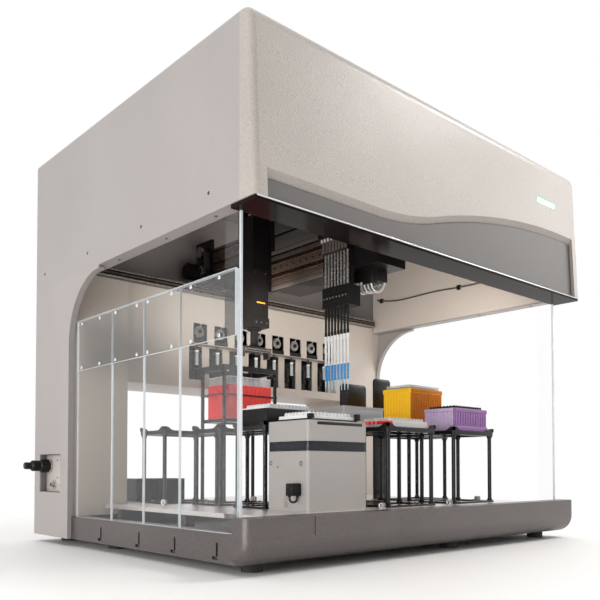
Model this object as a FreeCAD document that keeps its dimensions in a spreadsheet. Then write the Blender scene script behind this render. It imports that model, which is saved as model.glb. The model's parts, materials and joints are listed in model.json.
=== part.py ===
import FreeCAD, Part
import math
import os
import re
import Sketcher

# Automated liquid handler: a benchtop deck under a hood, with an eight-probe head
# and a plate gripper on one bridge.
# Millimetres. X is to the right seen from the front, -Y is the front, Z is up.
# The origin is on the table, under the middle of the case.
# Each line below is one driving dimension: its name, its value and what it is.
SIZES = (
    ("case_width", 965, "overall width of the case"),
    ("case_depth", 795, "overall depth of the case"),
    ("case_height", 847, "overall height"),
    ("fit_gap", 0.3, "running clearance between pieces that slide"),
    ("sheet", 3, "thickness of the painted sheets"),
    ("foot_height", 15, "height of the rubber feet"),
    ("foot_radius", 17.5, "radius of a foot"),
    ("foot_side_x", 421, "distance of the outer feet from the middle"),
    ("foot_mid_x", 87, "place of the middle front foot"),
    ("foot_front_y", -312, "place of the front feet"),
    ("foot_mid_y", 125, "place of the middle feet"),
    ("foot_rear_y", 370, "place of the rear feet"),
    ("hood_base", 557, "height of the hood's lower edge"),
    ("hood_lean", 13, "how far the hood front leans back over its height"),
    ("hood_nose_radius", 26, "rounding of the hood's top front edge"),
    ("hood_corner_radius", 10, "rounding of the hood's side edges"),
    ("hood_front_wall", 14, "thickness of the moulded hood front"),
    ("hood_flange_width", 24.5, "width of the return flange under each hood side"),
    ("recess_depth", 10, "depth of the floor under the lower front panel"),
    ("panel_thickness", 3, "thickness of the lower front panel"),
    ("panel_side", 23, "width of the hood left beside the lower front panel"),
    ("wave_low", 32, "height of the low end of the wave above the hood's lower edge"),
    ("wave_high", 124, "height of the crest of the wave above the hood's lower edge"),
    ("wave_low_radius", 600, "radius of the hollow of the wave"),
    ("wave_high_radius", 1667, "radius of the crest of the wave"),
    ("wave_crest_x", 420, "place of the crest"),
    ("wave_band", 12, "height of the sloped band above the panel"),
    ("lens_left", 312, "left end of the status lens"),
    ("lens_right", 390, "right end of the status lens"),
    ("lens_low", 188, "lower edge of the status lens above the hood's lower edge"),
    ("lens_height", 16, "height of the status lens"),
    ("lens_depth", 2, "depth of the status lens"),
    ("visor_thickness", 6, "thickness of the tinted visor under the hood front"),
    ("visor_depth", 60, "depth of the visor"),
    ("visor_side", 480, "half width of the visor"),
    ("column_front", 225, "place of the front of the columns"),
    ("column_flange", 12.5, "width of the flange along the front edge of a column"),
    ("arch_radius", 131, "radius of the arch over each side opening"),
    ("arch_web", 6, "height of the web between the arch and the hood"),
    ("column_box_inner", 345, "half distance between the columns"),
    ("column_box_top", 596, "height of the inner column boxes"),
    ("liner_x", 455, "half distance between the liners of the hood sides"),
    ("liner_top", 760, "height of the hood liners"),
    ("liner_front", -370, "front end of the hood liners"),
    ("connector_y", 315.5, "middle of the connector recess"),
    ("connector_z", 150, "middle height of the connector recess"),
    ("connector_width", 107, "width of the connector recess"),
    ("connector_height", 82, "height of the connector recess"),
    ("connector_depth", 14, "depth of the connector recess"),
    ("plug_y", 352, "place of the round plug"),
    ("plug_z", 166, "height of the round plug"),
    ("plug_radius", 15, "radius of the round plug"),
    ("plug_length", 58, "length of the round plug from the recess floor"),
    ("tray_side", 474, "half width of the tray between bumper and columns"),
    ("tray_rear_side", 470, "half width of the tray under the columns"),
    ("tray_front", -342, "front of the tray"),
    ("tray_rear", 390, "rear of the tray"),
    ("tray_rail_top", 61, "height of the tray's rails"),
    ("tray_floor", 25, "height of the tray's floor"),
    ("tray_wall", 34, "width of the tray's side rails"),
    ("tray_end_wall", 12, "thickness of the tray's front and rear walls"),
    ("slot_width", 5, "width of the cable slots in the rails"),
    ("slot_depth", 4, "depth of the cable slots"),
    ("slot_low", 20, "lower end of the cable slots"),
    ("slot_high", 46, "upper end of the cable slots"),
    ("bumper_depth", 36, "depth of the front bumper and radius of its underside"),
    ("bumper_top", 87, "height of the front bumper"),
    ("bumper_end_radius", 14, "rounding of the bumper's ends"),
    ("field_left", -476, "left end of the bare field on the bumper"),
    ("field_right", -346, "right end of the bare field"),
    ("field_low", 56, "lower edge of the bare field"),
    ("field_depth", 1, "depth of the bare field"),
    ("deck_top", 84, "height of the deck"),
    ("deck_thickness", 8, "thickness of the deck plate"),
    ("deck_side", 400, "half width of the deck plate"),
    ("deck_rear_side", 340, "half width of the deck plate between the columns"),
    ("deck_front", -330, "front of the deck plate"),
    ("deck_rear", 384, "rear of the deck plate"),
    ("deck_post", 20, "side of a deck support post"),
    ("panel_x", 470, "half distance of the outer faces of the clear side panels"),
    ("clear_sheet", 4, "thickness of the clear panels"),
    ("panel_front", -339, "front edge of the clear side panels"),
    ("panel_joint_a", -178, "first joint between clear side panels"),
    ("panel_joint_b", -60, "second joint between clear side panels"),
    ("panel_joint_c", 60, "third joint between clear side panels"),
    ("panel_rear", 210, "rear edge of the clear side panels"),
    ("panel_gap", 1, "gap between clear side panels"),
    ("panel_top", 462, "height of the clear side panels"),
    ("strip_rear", 203, "rear end of the clear strip"),
    ("strip_low", 360, "lower edge of the clear strip"),
    ("guard_front", -341, "front of the tall clear edge guards"),
    ("guard_rear", -300, "rear of the tall clear edge guards"),
    ("wall_front", 235, "front face of the rear wall"),
    ("wall_top", 598, "height of the rear wall"),
    ("wall_low", 352, "lower edge of the rear wall"),
    ("wall_step", 22, "how far the lower part of the rear wall steps back"),
    ("wall_step_top", 462, "top of the stepped part of the rear wall"),
    ("wall_lip", 20, "height of the lip of the rear wall's ledge"),
    ("pump_first_x", -149, "place of the first pump"),
    ("pump_pitch", 61, "distance between pumps"),
    ("pump_window", 40, "width of a pump window"),
    ("window_low", 470, "lower edge of the upper windows"),
    ("window_high", 508, "upper edge of the upper windows"),
    ("step_margin", 12, "wall left of the first and right of the last lower window"),
    ("pump_front", 264, "front face of the pump bodies"),
    ("pump_depth", 66, "depth of the pump bodies"),
    ("pump_width", 36, "width of the pump bodies"),
    ("pump_top", 520, "height of the pump bodies"),
    ("valve_radius", 14, "radius of the round pump valve"),
    ("valve_z", 489, "height of the round pump valve"),
    ("syringe_y", 251, "place of the syringes"),
    ("syringe_radius", 4.5, "outer radius of a syringe barrel"),
    ("syringe_bore", 3, "bore radius of a syringe barrel"),
    ("syringe_top", 446, "top of the syringe barrels"),
    ("syringe_length", 36, "length of a syringe barrel"),
    ("plunger_clamp", 8, "height of a plunger clamp"),
    ("plunger_rod_radius", 1.2, "radius of a plunger rod"),
    ("rail_rear_side", 440, "half length of the rear X rail"),
    ("rail_rear_front", 205, "front of the rear X rail"),
    ("rail_rear_low", 572, "underside of the rear X rail"),
    ("rail_rear_height", 18, "height of the rear X rail"),
    ("rail_front_y", -372, "front of the front X rail"),
    ("rail_front_depth", 20, "depth of the front X rail"),
    ("rail_front_low", 640, "underside of the front X rail"),
    ("rail_front_height", 20, "height of the front X rail"),
    ("beam_left", -64, "left face of the bridge beam"),
    ("beam_width", 76, "width of the bridge beam"),
    ("beam_low", 640, "underside of the bridge beam"),
    ("beam_height", 80, "height of the bridge beam"),
    ("beam_front", -345, "front end of the bridge beam"),
    ("beam_rear", 370, "rear end of the bridge beam"),
    ("beam_rail", 4, "thickness of the rails on the beam's left face"),
    ("beam_rail_height", 12, "height of the rails on the beam's left face"),
    ("beam_rail_low", 663, "underside of the lower rail on the beam"),
    ("beam_rail_pitch", 29, "distance between the rails on the beam"),
    ("drive_front", 300, "front of the bridge drive"),
    ("drive_top", 745, "top of the bridge drive"),
    ("drive_motor_radius", 21, "radius of the drive motor"),
    ("pod_plate", 9.7, "thickness of the pod's carriage plate"),
    ("pod_front", -270, "front end of the pod"),
    ("pod_rear", 105, "rear end of the pod's carriage plate"),
    ("pod_box_rear", 46, "rear end of the pod's lower housing"),
    ("pod_low", 563, "underside of the pod"),
    ("pod_top", 735, "top of the pod's carriage plate"),
    ("pod_box_right", 5, "right face of the pod's lower housing"),
    ("pod_box_top", 632, "top of the pod's lower housing"),
    ("probe_x", -92, "place of the row of probes"),
    ("probe_front_y", -202, "place of the first probe"),
    ("probe_pitch", 9, "distance between the probes when they are closed up"),
    ("probe_tip_z", 317.6, "height of the probe tips at the top of their travel"),
    ("probe_barrel_z", 335.5, "lower end of the blue barrels"),
    ("probe_sleeve_z", 371, "lower end of the white sleeves"),
    ("probe_mandrel_z", 431, "lower end of the black mandrels"),
    ("probe_rod_top", 715, "top of the probe rods"),
    ("probe_rod_radius", 2.2, "radius of the probe rods"),
    ("comb_low", 489, "underside of the probe guides"),
    ("comb_high", 530, "top of the lower block of a probe guide"),
    ("comb_width", 8.4, "width of a probe guide"),
    ("comb_back", -60, "rear face of the lower block of a probe guide"),
    ("guide_half", 6, "distance from a probe to the front face of its guide"),
    ("guide_back_left", -84, "left face of a guide's back strip"),
    ("guide_upper_low", 600, "underside of the upper block of a guide"),
    ("guide_upper_top", 640, "top of the upper block of a guide"),
    ("hook_reach", 12, "how far the tube hook of a guide stands out"),
    ("guide_bore", 2.6, "bore radius in the probe guides"),
    ("tubing_block_height", 22, "height of the tubing connector"),
    ("tube_radius", 1.8, "radius of the pod tubing"),
    ("loop_radius", 20, "radius of the tubing loops"),
    ("loop_count", 5, "number of tubing loops"),
    ("mast_x", -107.5, "place of the gripper mast"),
    ("mast_y", 79.5, "place of the gripper mast"),
    ("mast_side", 45, "side of the gripper mast"),
    ("mast_top", 733, "top of the gripper mast"),
    ("mast_low", 478, "underside of the gripper mast"),
    ("mast_cover_top", 611, "top of the mast's wider cover"),
    ("tower_top", 790, "top of the gripper tower"),
    ("wrist_shaft_radius", 9, "radius of the wrist shaft"),
    ("wrist_disc_radius", 16, "radius of the wrist disc"),
    ("jaw_top", 434, "top of the jaw bar"),
    ("jaw_low", 423, "underside of the jaw bar"),
    ("jaw_length", 76, "length of the jaw bar"),
    ("jaw_depth", 15, "depth of the jaw bar"),
    ("finger_low", 411, "lower end of the fingers"),
    ("finger_thickness", 4, "thickness of a finger"),
    ("finger_width", 20, "width of a finger"),
    ("frame_length", 150, "length of a labware frame"),
    ("frame_depth", 100, "depth of a labware frame"),
    ("frame_top", 242, "seat height of the labware frames"),
    ("frame_ring", 9, "thickness of a frame's top ring"),
    ("frame_bar_x", 15, "width of a ring's end bars"),
    ("frame_bar_y", 12, "width of a ring's long bars"),
    ("frame_post", 10.5, "side of a frame post"),
    ("lug_height", 10, "height of the corner lugs of a frame"),
    ("lug_length", 20, "length of a corner lug"),
    ("lug_thickness", 9.5, "thickness of a corner lug"),
    ("left_x", -195, "middle of the left row of labware"),
    ("mid_x", 13, "middle of the middle row of labware"),
    ("right_x", 227, "middle of the right row of labware"),
    ("row_a_y", -230.5, "middle of the front row of labware"),
    ("row_b_y", -108, "middle of the second row of labware"),
    ("row_c_y", 36, "middle of the third row of labware"),
    ("row_d_y", 176, "middle of the rear row of labware"),
    ("tall_box_x", 254, "middle of the tall tip box"),
    ("tall_box_y", -86, "middle of the tall tip box"),
    ("empty_rear_x", -240, "middle of the empty rear frame"),
    ("plate_length", 127.8, "length of a labware plate"),
    ("plate_width", 85.5, "width of a labware plate"),
    ("plate_height", 14.4, "height of a standard plate"),
    ("rack_height", 43, "height of a tube rack"),
    ("deep_height", 50, "height of the deep plate"),
    ("low_box_height", 50, "height of the low tip box"),
    ("tip_height", 6, "height of the tips over the low tip box"),
    ("tip_radius", 3.6, "radius of a tip's top"),
    ("tip_pitch", 9, "distance between tips"),
    ("tall_box_height", 107, "height of the tall tip box"),
    ("lid_height", 9, "height of the clear lid"),
    ("shaker_y", -222.5, "middle of the shaker"),
    ("shaker_depth", 115, "depth of the shaker"),
    ("shaker_band_low", 191, "lower edge of the shaker's dark band"),
    ("shaker_band_top", 209, "top of the shaker's dark band"),
    ("shaker_top", 246, "top of the shaker"),
    ("shaker_radius", 8, "rounding of the shaker's upright edges"),
    ("band_inset", 2.5, "inset of the shaker's dark band"),
    ("stand_left", -160, "left face of the reservoir stand"),
    ("stand_right", 3, "right face of the reservoir stand"),
    ("stand_front", 125, "front face of the reservoir stand"),
    ("stand_rear", 223, "rear face of the reservoir stand"),
    ("stand_top", 398, "top of the reservoir stand"),
    ("stand_ring", 12, "height of the stand's ring"),
    ("stand_post", 10, "side of a stand post"),
    ("reservoir_left", -141, "left face of the reservoir"),
    ("reservoir_length", 127.8, "length of the reservoir"),
    ("reservoir_front", 131.25, "front face of the reservoir"),
    ("reservoir_low", 275, "underside of the reservoir"),
    ("reservoir_height", 99, "height of the reservoir"),
    ("reservoir_wall", 3, "wall of the reservoir"),
    ("shield_a_left", 93, "left edge of the wider shield"),
    ("shield_a_right", 180, "right edge of the wider shield"),
    ("shield_a_top", 363, "top of the wider shield"),
    ("shield_b_left", 209, "left edge of the narrow shield"),
    ("shield_b_right", 270, "right edge of the narrow shield"),
    ("shield_b_top", 384, "top of the narrow shield"),
    ("shield_y", 0, "front face of the shields"),
    ("shield_thickness", 5, "thickness of the shields"),
    ("shield_corner", 9, "rounding of the shields' upper corners"),
    ("controller_front", 300, "front of the controller boxes"),
    ("controller_depth", 70, "depth of the controller boxes"),
    ("controller_height", 52, "height of the controller boxes"),
    ("screw_radius", 3, "radius of a screw head"),
    ("screw_depth", 1.5, "height of a screw head"),
    ("thumb_radius", 7, "radius of a thumbscrew"),
    ("thumb_height", 11, "height of a thumbscrew"),
    ("cable_radius", 2, "radius of the clipped cable"),
    ("recess_rim", 4, "rim of the connector cup around its recess"),
    ("oval_width", 17, "width of the oval socket"),
    ("oval_rise", 16, "distance between the round ends of the oval socket"),
    ("oval_depth", 5, "height of the oval socket"),
    ("oval_offset", 43.5, "distance of the oval socket from the middle of the recess"),
    ("coax_radius", 5, "radius of a coax socket"),
    ("coax_depth", 9, "height of a coax socket"),
    ("coax_drop", 25, "distance of the coax sockets below the middle of the recess"),
    ("valve_front", 242, "front face of the pump valves"),
    ("valve_knob_radius", 5, "radius of the knob on a valve"),
    ("bracket_side", 18, "width of a syringe bracket"),
    ("bracket_height", 8, "height of a syringe bracket"),
    ("clamp_side", 14, "width of a plunger clamp"),
    ("groove_height", 4, "height of the grooves along the X rails"),
    ("groove_depth", 3, "depth of the grooves along the X rails"),
    ("drive_plate", 8, "thickness of the bridge drive's plate"),
    ("drive_motor_length", 44, "length of the drive motor"),
    ("drive_motor_offset", 24, "distance of the drive motor from the beam's rear end and underside"),
    ("pulley_radius", 14, "radius of a drive pulley"),
    ("pulley_length", 18, "length of a drive pulley"),
    ("hook_height", 14, "height of the tube hook of a guide"),
    ("hook_thickness", 4, "thickness of the tube hook of a guide"),
    ("hook_drop", 10, "distance of the hook's underside from the guide's top"),
    ("tubing_left", -52, "left face of the tubing connector"),
    ("tubing_right", -6, "right face of the tubing connector"),
    ("tubing_margin", 30, "reach of the tubing connector in front of the first probe"),
    ("tubing_pitch", 10, "distance between the tubing loops"),
    ("loop_step", 0.8, "how much smaller each next tubing loop is"),
    ("rack_depth", 19, "depth of the gripper's toothed rack"),
    ("rack_width", 16, "width of the gripper's toothed rack"),
    ("rack_low", 500, "lower end of the gripper's toothed rack"),
    ("rack_tooth", 7, "distance between the teeth of the rack"),
    ("rack_tooth_depth", 3, "depth of the teeth of the rack"),
    ("mast_flange", 22, "height of the flange at the foot of the mast"),
    ("flange_reach", 4, "how far the mast's flange stands out"),
    ("mast_step", 5, "how much narrower the mast is above its cover"),
    ("light_low", 54, "height of the light slot above the mast's underside"),
    ("light_height", 5, "height of the light slot"),
    ("light_depth", 1, "depth of the light slot"),
    ("wrist_disc", 4, "thickness of the wrist disc"),
    ("frame_base", 4, "thickness of a frame's base ring"),
    ("frame_base_bar", 12, "width of the bars of a frame's base ring"),
    ("plate_skirt", 2.5, "height of the skirt of a labware plate"),
    ("plate_inset", 2.2, "how far a labware plate stands back above its skirt"),
    ("well_pitch", 9, "distance between the wells of a plate"),
    ("well_radius", 3.3, "radius of a round well"),
    ("well_side", 7.4, "side of a square well"),
    ("well_depth", 10, "depth of a well"),
    ("rib_pitch", 9, "distance between the ribs of the tall tip box"),
    ("rib_width", 3, "width of a rib of the tall tip box"),
    ("rib_depth", 1.5, "depth of a rib of the tall tip box"),
    ("rib_margin", 10, "height of the plain rims over and under the ribs"),
    ("lid_inset", 6, "how far the lid stands back from the tall tip box"),
    ("lid_wall", 1.5, "wall of the clear lid"),
    ("flute_count", 10, "number of flutes along the reservoir"),
    ("flute_rows", 7, "number of flutes across the reservoir"),
    ("flute_depth", 1.5, "depth of the reservoir's flutes"),
    ("cap_slot_inset", 20, "distance of the cap's slot from its left end"),
    ("cap_slot_depth", 2, "depth of the cap's slot"),
    ("cap_slot_height", 6, "height of the cap's slot"),
    ("lead_plug_length", 22, "length of the shaker's plug"),
    ("lead_plug_width", 18, "width of the shaker's plug"),
    ("lead_plug_height", 24, "height of the shaker's plug"),
    ("lead_plug_low", 26, "height of the shaker's plug above the deck"),
    ("lead_radius", 2, "radius of the shaker's lead"),
    ("lead_loop_radius", 9, "radius of the loop of the shaker's lead"),
    ("clip_width", 8, "width of a cable clip"),
    ("clip_height", 14, "height of a cable clip"),
    ("clip_slack", 1.4, "room above and below the cable in a clip"),
    ("hood_screw_rise", 33, "height of the hood's side screws above its lower edge"),
    ("nose_inner_extra", 4, "how much the nose's inner radius exceeds the even wall"),
    ("wave_overcut", 4, "how far the wave cut starts in front of the hood's face"),
    ("visor_setback", 3, "distance of the visor behind the hood's front"),
    ("coax_behind", 14, "how far the rear coax socket is behind the recess's middle"),
    ("coax_before", 37, "how far the front coax socket is before the recess's middle"),
    ("post_inset", 30, "distance of the deck posts from the deck's edges"),
    ("post_mid_y", -50, "place of the middle deck posts"),
    ("foot_column_step", 20, "how far the rear feet are before the tray's rear feet line"),
    ("beam_rail_start", 15, "distance of the beam's rails from the beam's front"),
    ("beam_rail_gap", 10, "distance of the beam's rails from the drive"),
    ("beam_carrier_lap", 2, "how far the beam's rear carrier reaches in front of the rear rail"),
    ("pulley_a_y", 15, "place of the lower pulley behind the drive's front"),
    ("pulley_a_z", 20, "place of the lower pulley above the beam"),
    ("pulley_b_y", 20, "place of the upper pulley behind the drive's front"),
    ("pulley_b_z", 70, "place of the upper pulley above the beam"),
    ("tip_mouth", 0.7, "radius of a tip's mouth"),
    ("tip_cone_radius", 2, "radius of a tip where its cone ends"),
    ("sleeve_radius", 3.3, "radius of a tip's barrel"),
    ("mandrel_radius", 3.8, "radius of a white sleeve"),
    ("shaft_radius", 3.6, "radius of a black mandrel"),
    ("rack_rise", 47, "how far the toothed rack may reach above the mast"),
    ("light_left", 12, "distance of the light bar from the mast's left side"),
    ("light_right", 8, "distance of the light bar from the mast's right side"),
    ("plate_extra", 5, "how much higher the plate with its lid is"),
    ("shaker_plate_extra", 3, "how much higher the plate on the shaker is"),
    ("strip_screw_low", 5.5, "height of the lower screws above the strip's lower edge"),
    ("strip_screw_high", 7, "distance of the upper screws below the strip's upper edge"),
    ("flange_screw_offset", 14, "distance of the flange screws from the liner"),
)

doc = FreeCAD.newDocument("LiquidHandler")
sheet = doc.addObject("Spreadsheet::Sheet", "Sizes")
NAMES = []
for row, (alias, number, note) in enumerate(SIZES, 1):
    sheet.set("A%d" % row, alias)
    sheet.set("B%d" % row, str(number))
    sheet.set("C%d" % row, note)
    sheet.setAlias("B%d" % row, alias)
    NAMES.append(alias)
doc.recompute()

PUMPS = 8
FAR = 10000
PROBES = 8
NODES = []


def formula(text):
    """An expression in which each driving dimension is read from the sheet."""
    return re.sub(r"[a-z]\w*", lambda word: ("Sizes." if word.group(0) in NAMES else "") + word.group(0),
                  str(text))


def value(text):
    """The number that an expression gives now."""
    return float(sheet.evalExpression(formula(text)))


def bind(obj, prop, text):
    obj.setExpression(prop, formula(text))


def block(x, y, z, name="block"):
    """A box between the low and high expressions of each axis."""
    box = doc.addObject("Part::Box", name)
    for prop, axis, (low, high) in (("Length", "x", x), ("Width", "y", y), ("Height", "z", z)):
        bind(box, prop, "(%s) - (%s)" % (high, low))
        bind(box, "Placement.Base." + axis, low)
    return box


def rod(axis, centre, radius, low, high, name="rod"):
    """A cylinder along an axis, from low to high; centre gives the other two coordinates in X, Y, Z order."""
    cylinder = doc.addObject("Part::Cylinder", name)
    turns = {"x": (FreeCAD.Vector(0, 1, 0), 90), "y": (FreeCAD.Vector(1, 0, 0), -90),
             "z": (FreeCAD.Vector(0, 0, 1), 0)}
    cylinder.Placement = FreeCAD.Placement(FreeCAD.Vector(), FreeCAD.Rotation(*turns[axis]))
    bind(cylinder, "Radius", radius)
    bind(cylinder, "Height", "(%s) - (%s)" % (high, low))
    places = list(centre)
    places.insert("xyz".index(axis), low)
    for letter, place in zip("xyz", places):
        bind(cylinder, "Placement.Base." + letter, place)
    return cylinder


def fuse(items, name="fusion"):
    fusion = doc.addObject("Part::MultiFuse", name)
    fusion.Shapes = list(items)
    fusion.Refine = True
    return fusion


def group(items, name="group"):
    compound = doc.addObject("Part::Compound", name)
    compound.Links = list(items)
    return compound


def cut(base, tools, name="cut"):
    """The base without the tools, which must not overlap one another."""
    result = doc.addObject("Part::Cut", name)
    result.Base = base
    result.Tool = tools[0] if len(tools) == 1 else group(tools, name + " tools")
    result.Refine = True
    return result


def node(label, obj):
    """Makes an object one named sub-part of the product."""
    obj.Label = label
    NODES.append(obj)
    return obj


def draw(sketch, outline):
    """Draws a closed outline of (x, y) or (x, y, radius) corners.

    A radius makes the edge to the next corner an arc, positive where it turns left.
    """
    corners = [FreeCAD.Vector(value(c[0]), value(c[1]), 0) for c in outline]
    ends = []
    for i, corner in enumerate(outline):
        start, end = corners[i], corners[(i + 1) % len(corners)]
        if len(corner) == 2:
            edge = sketch.addGeometry(Part.LineSegment(start, end))
            ends.append((edge, 1, 2))
            continue
        radius = value(corner[2])
        chord = end - start
        reach = math.sqrt(max(radius ** 2 - chord.Length ** 2 / 4, 0))
        left = FreeCAD.Vector(-chord.y, chord.x, 0).normalize()
        centre = (start + end) * 0.5 + left * math.copysign(reach, radius)
        first, last = (start, end) if radius > 0 else (end, start)
        angles = [math.atan2(p.y - centre.y, p.x - centre.x) for p in (first, last)]
        if angles[1] < angles[0]:
            angles[1] += 2 * math.pi
        circle = Part.Circle(centre, FreeCAD.Vector(0, 0, 1), abs(radius))
        edge = sketch.addGeometry(Part.ArcOfCircle(circle, *angles))
        ends.append((edge, 1, 2) if radius > 0 else (edge, 2, 1))
        limit = sketch.addConstraint(Sketcher.Constraint("Radius", edge, abs(radius)))
        bind(sketch, "Constraints[%d]" % limit, "abs(%s)" % corner[2])
    for i, (edge, start, end) in enumerate(ends):
        following = ends[(i + 1) % len(ends)]
        sketch.addConstraint(Sketcher.Constraint("Coincident", edge, end, following[0], following[1]))
        for kind, place, text in (("DistanceX", corners[i].x, outline[i][0]),
                                  ("DistanceY", corners[i].y, outline[i][1])):
            limit = sketch.addConstraint(Sketcher.Constraint(kind, -1, 1, edge, start, place))
            bind(sketch, "Constraints[%d]" % limit, text)


def profile(plane, outline, low, high, name="profile"):
    """A PartDesign body: an outline in the XY, YZ or XZ plane, padded from low to high along the third axis."""
    body = doc.addObject("PartDesign::Body", name)
    sketch = body.newObject("Sketcher::SketchObject", name + " outline")
    base = [item for item in body.Origin.OriginFeatures if item.Role == plane + "_Plane"][0]
    sketch.AttachmentSupport = [(base, "")]
    sketch.MapMode = "FlatFace"
    bind(sketch, "AttachmentOffset.Base.z", "-(%s)" % high if plane == "XZ" else low)
    draw(sketch, outline)
    pad = body.newObject("PartDesign::Pad", name + " pad")
    pad.Profile = sketch
    bind(pad, "Length", "(%s) - (%s)" % (high, low))
    doc.recompute()
    return body


def edges_in(shape, x=None, y=None, z=None):
    """Names of the edges that lie wholly between the given limits of each axis."""
    names = []
    for i, edge in enumerate(shape.Edges, 1):
        box = edge.BoundBox
        spans = ((x, box.XMin, box.XMax), (y, box.YMin, box.YMax), (z, box.ZMin, box.ZMax))
        if all(s is None or (low > s[0] - 0.05 and high < s[1] + 0.05) for s, low, high in spans):
            names.append("Edge%d" % i)
    return names


def round_edges(body, names, radius):
    """Rounds edges of a body's tip."""
    base = body.Tip
    fillet = body.newObject("PartDesign::Fillet", body.Label + " rounding")
    fillet.Base = (base, names)
    bind(fillet, "Radius", radius)
    body.Tip = fillet
    doc.recompute()
    return body


def at(text):
    """Limits of an axis that hold only one place."""
    return (value(text), value(text))


def mirrored(make):
    """The left and right copies of a piece; make gets the low and high X limits as a function of distances."""
    left = make(lambda near, far: ("-(%s)" % far, "-(%s)" % near), "-1")
    right = make(lambda near, far: (near, far), "1")
    return [left, right]


def lean_at(height):
    """How far the hood front leans back at a height."""
    return "hood_lean*((%s) - hood_base)/(case_height - hood_base)" % height


# Hood: a moulded front with a rounded nose, two side sheets with rolled top edges, and a flat top between them
def hood_solid(name, front, top, side, rear, low, nose, corner):
    body = profile("YZ", [
        ("%s + %s" % (front, lean_at(low)), low),
        ("%s + %s" % (front, lean_at(top)), top),
        (rear, top),
        (rear, low),
    ], "-(%s)" % side, side, name)
    shape = body.Shape
    round_edges(body, edges_in(shape, None, at("%s + %s" % (front, lean_at(top))), at(top)), nose)
    half = value(side)
    names = []
    for place in (-half, half):
        for edge in edges_in(body.Shape, (place, place), (-FAR, value(rear) - 1), (value(low), FAR)):
            names.append(edge)
        for edge in edges_in(body.Shape, (place, place), None, at(top)):
            if edge not in names:
                names.append(edge)
    names = [n for n in names if n not in edges_in(body.Shape, None, None, at(low))]
    return round_edges(body, names, corner)


HALF = "case_width/2"
FRONT = "-case_depth/2"
REAR = "case_depth/2"
INNER = "case_width/2 - sheet"

hood_outer = hood_solid("hood outer", FRONT, "case_height", HALF, REAR, "hood_base",
                        "hood_nose_radius", "hood_corner_radius")
hood_inner = hood_solid("hood inner", FRONT + " + hood_front_wall", "case_height - sheet", INNER,
                        REAR + " + 1",
                        "hood_base - 1", "hood_nose_radius - hood_front_wall + nose_inner_extra",
                        "hood_corner_radius - sheet")
hood_shell = cut(hood_outer, [hood_inner], "hood shell")
hood_flanges = mirrored(lambda span, side: block(
    span(INNER + " - hood_flange_width", INNER),
    (FRONT + " + hood_front_wall", "column_front"), ("hood_base", "hood_base + sheet"), "hood flange"))

# The wave: a recess in the leaning front, with a sloped band above the panel's seat
lean_angle = math.degrees(math.atan2(value("hood_lean"), value("case_height - hood_base")))
FACE = FreeCAD.Placement(FreeCAD.Vector(0, value(FRONT), value("hood_base")),
                         FreeCAD.Rotation(FreeCAD.Vector(1, 0, 0), -lean_angle))
WAVE_RISE = "(wave_high - wave_low)"
WAVE_RADII = "(wave_low_radius + wave_high_radius)"
WAVE_START = "(wave_crest_x - sqrt(2*%s*%s - %s^2))" % (WAVE_RADII, WAVE_RISE, WAVE_RISE)
WAVE_SHARE = "wave_low_radius/%s" % WAVE_RADII
PANEL_HALF = "(case_width/2 - panel_side)"


def wave_outline(raise_by, gap, low):
    """Outline of the lower panel seen from the front: straight sides under a line of two tangent arcs."""
    return [
        ("%s - %s" % (PANEL_HALF, gap), low),
        ("%s - %s" % (PANEL_HALF, gap), "wave_high + %s - %s" % (raise_by, gap)),
        ("wave_crest_x", "wave_high + %s - %s" % (raise_by, gap), "wave_high_radius"),
        ("%s + (wave_crest_x - %s)*%s" % (WAVE_START, WAVE_START, WAVE_SHARE),
         "wave_low + %s*%s + %s - %s" % (WAVE_RISE, WAVE_SHARE, raise_by, gap), "-wave_low_radius"),
        (WAVE_START, "wave_low + %s - %s" % (raise_by, gap)),
        ("-(%s - %s)" % (PANEL_HALF, gap), "wave_low + %s - %s" % (raise_by, gap)),
        ("-(%s - %s)" % (PANEL_HALF, gap), low),
    ]


def face_sketch(outline, depth, name):
    """A sketch parallel to the leaning hood front, a depth behind it."""
    sketch = doc.addObject("Sketcher::SketchObject", name)
    upright = FreeCAD.Rotation(FreeCAD.Vector(1, 0, 0), 90)
    sketch.Placement = FACE.multiply(FreeCAD.Placement(FreeCAD.Vector(0, value(depth), 0), upright))
    draw(sketch, outline)
    return sketch


def loft(sections, name):
    solid = doc.addObject("Part::Loft", name)
    solid.Sections = sections
    solid.Solid = True
    solid.Ruled = True
    return solid


def extrude(sketch, length, name):
    """Extrudes a sketch along its normal, which points out of the hood front."""
    solid = doc.addObject("Part::Extrusion", name)
    solid.Base = sketch
    solid.DirMode = "Normal"
    solid.Solid = True
    bind(solid, "LengthFwd", length)
    return solid


wave_slope = loft([
    face_sketch(wave_outline("0", "0", "-wave_overcut"), "recess_depth", "wave floor outline"),
    face_sketch(wave_outline("wave_band", "0", "-wave_overcut"), "0", "wave face outline"),
], "wave slope")
wave_mouth = extrude(face_sketch(wave_outline("wave_band", "0", "-wave_overcut"), "0",
                                 "wave mouth outline"), "wave_overcut", "wave mouth")
wave_tool = fuse([wave_slope, wave_mouth], "wave tool")


def lens_outline(gap):
    low, high = "lens_low + %s" % gap, "lens_low + lens_height - %s" % gap
    left, right = "lens_left + %s" % gap, "lens_right - %s" % gap
    corner = "lens_height/2 - %s" % gap
    return [
        (left, low), ("%s - (%s)" % (right, corner), low, corner),
        (right, "%s + (%s)" % (low, corner)), (right, high), (left, high),
    ]


lens_tool = extrude(face_sketch(lens_outline("0"), "lens_depth", "lens seat outline"), "lens_depth + 4",
                    "lens seat")


def side_screws(x, places, z, radius, depth, side):
    """Screw heads or their seats, set flush in a side face; x is the outer face."""
    low, high = (x, "%s + %s" % (x, depth)) if side < 0 else ("%s - %s" % (x, depth), x)
    return [rod("x", (y, z), radius, low, high, "side screw") for y in places]


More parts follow.
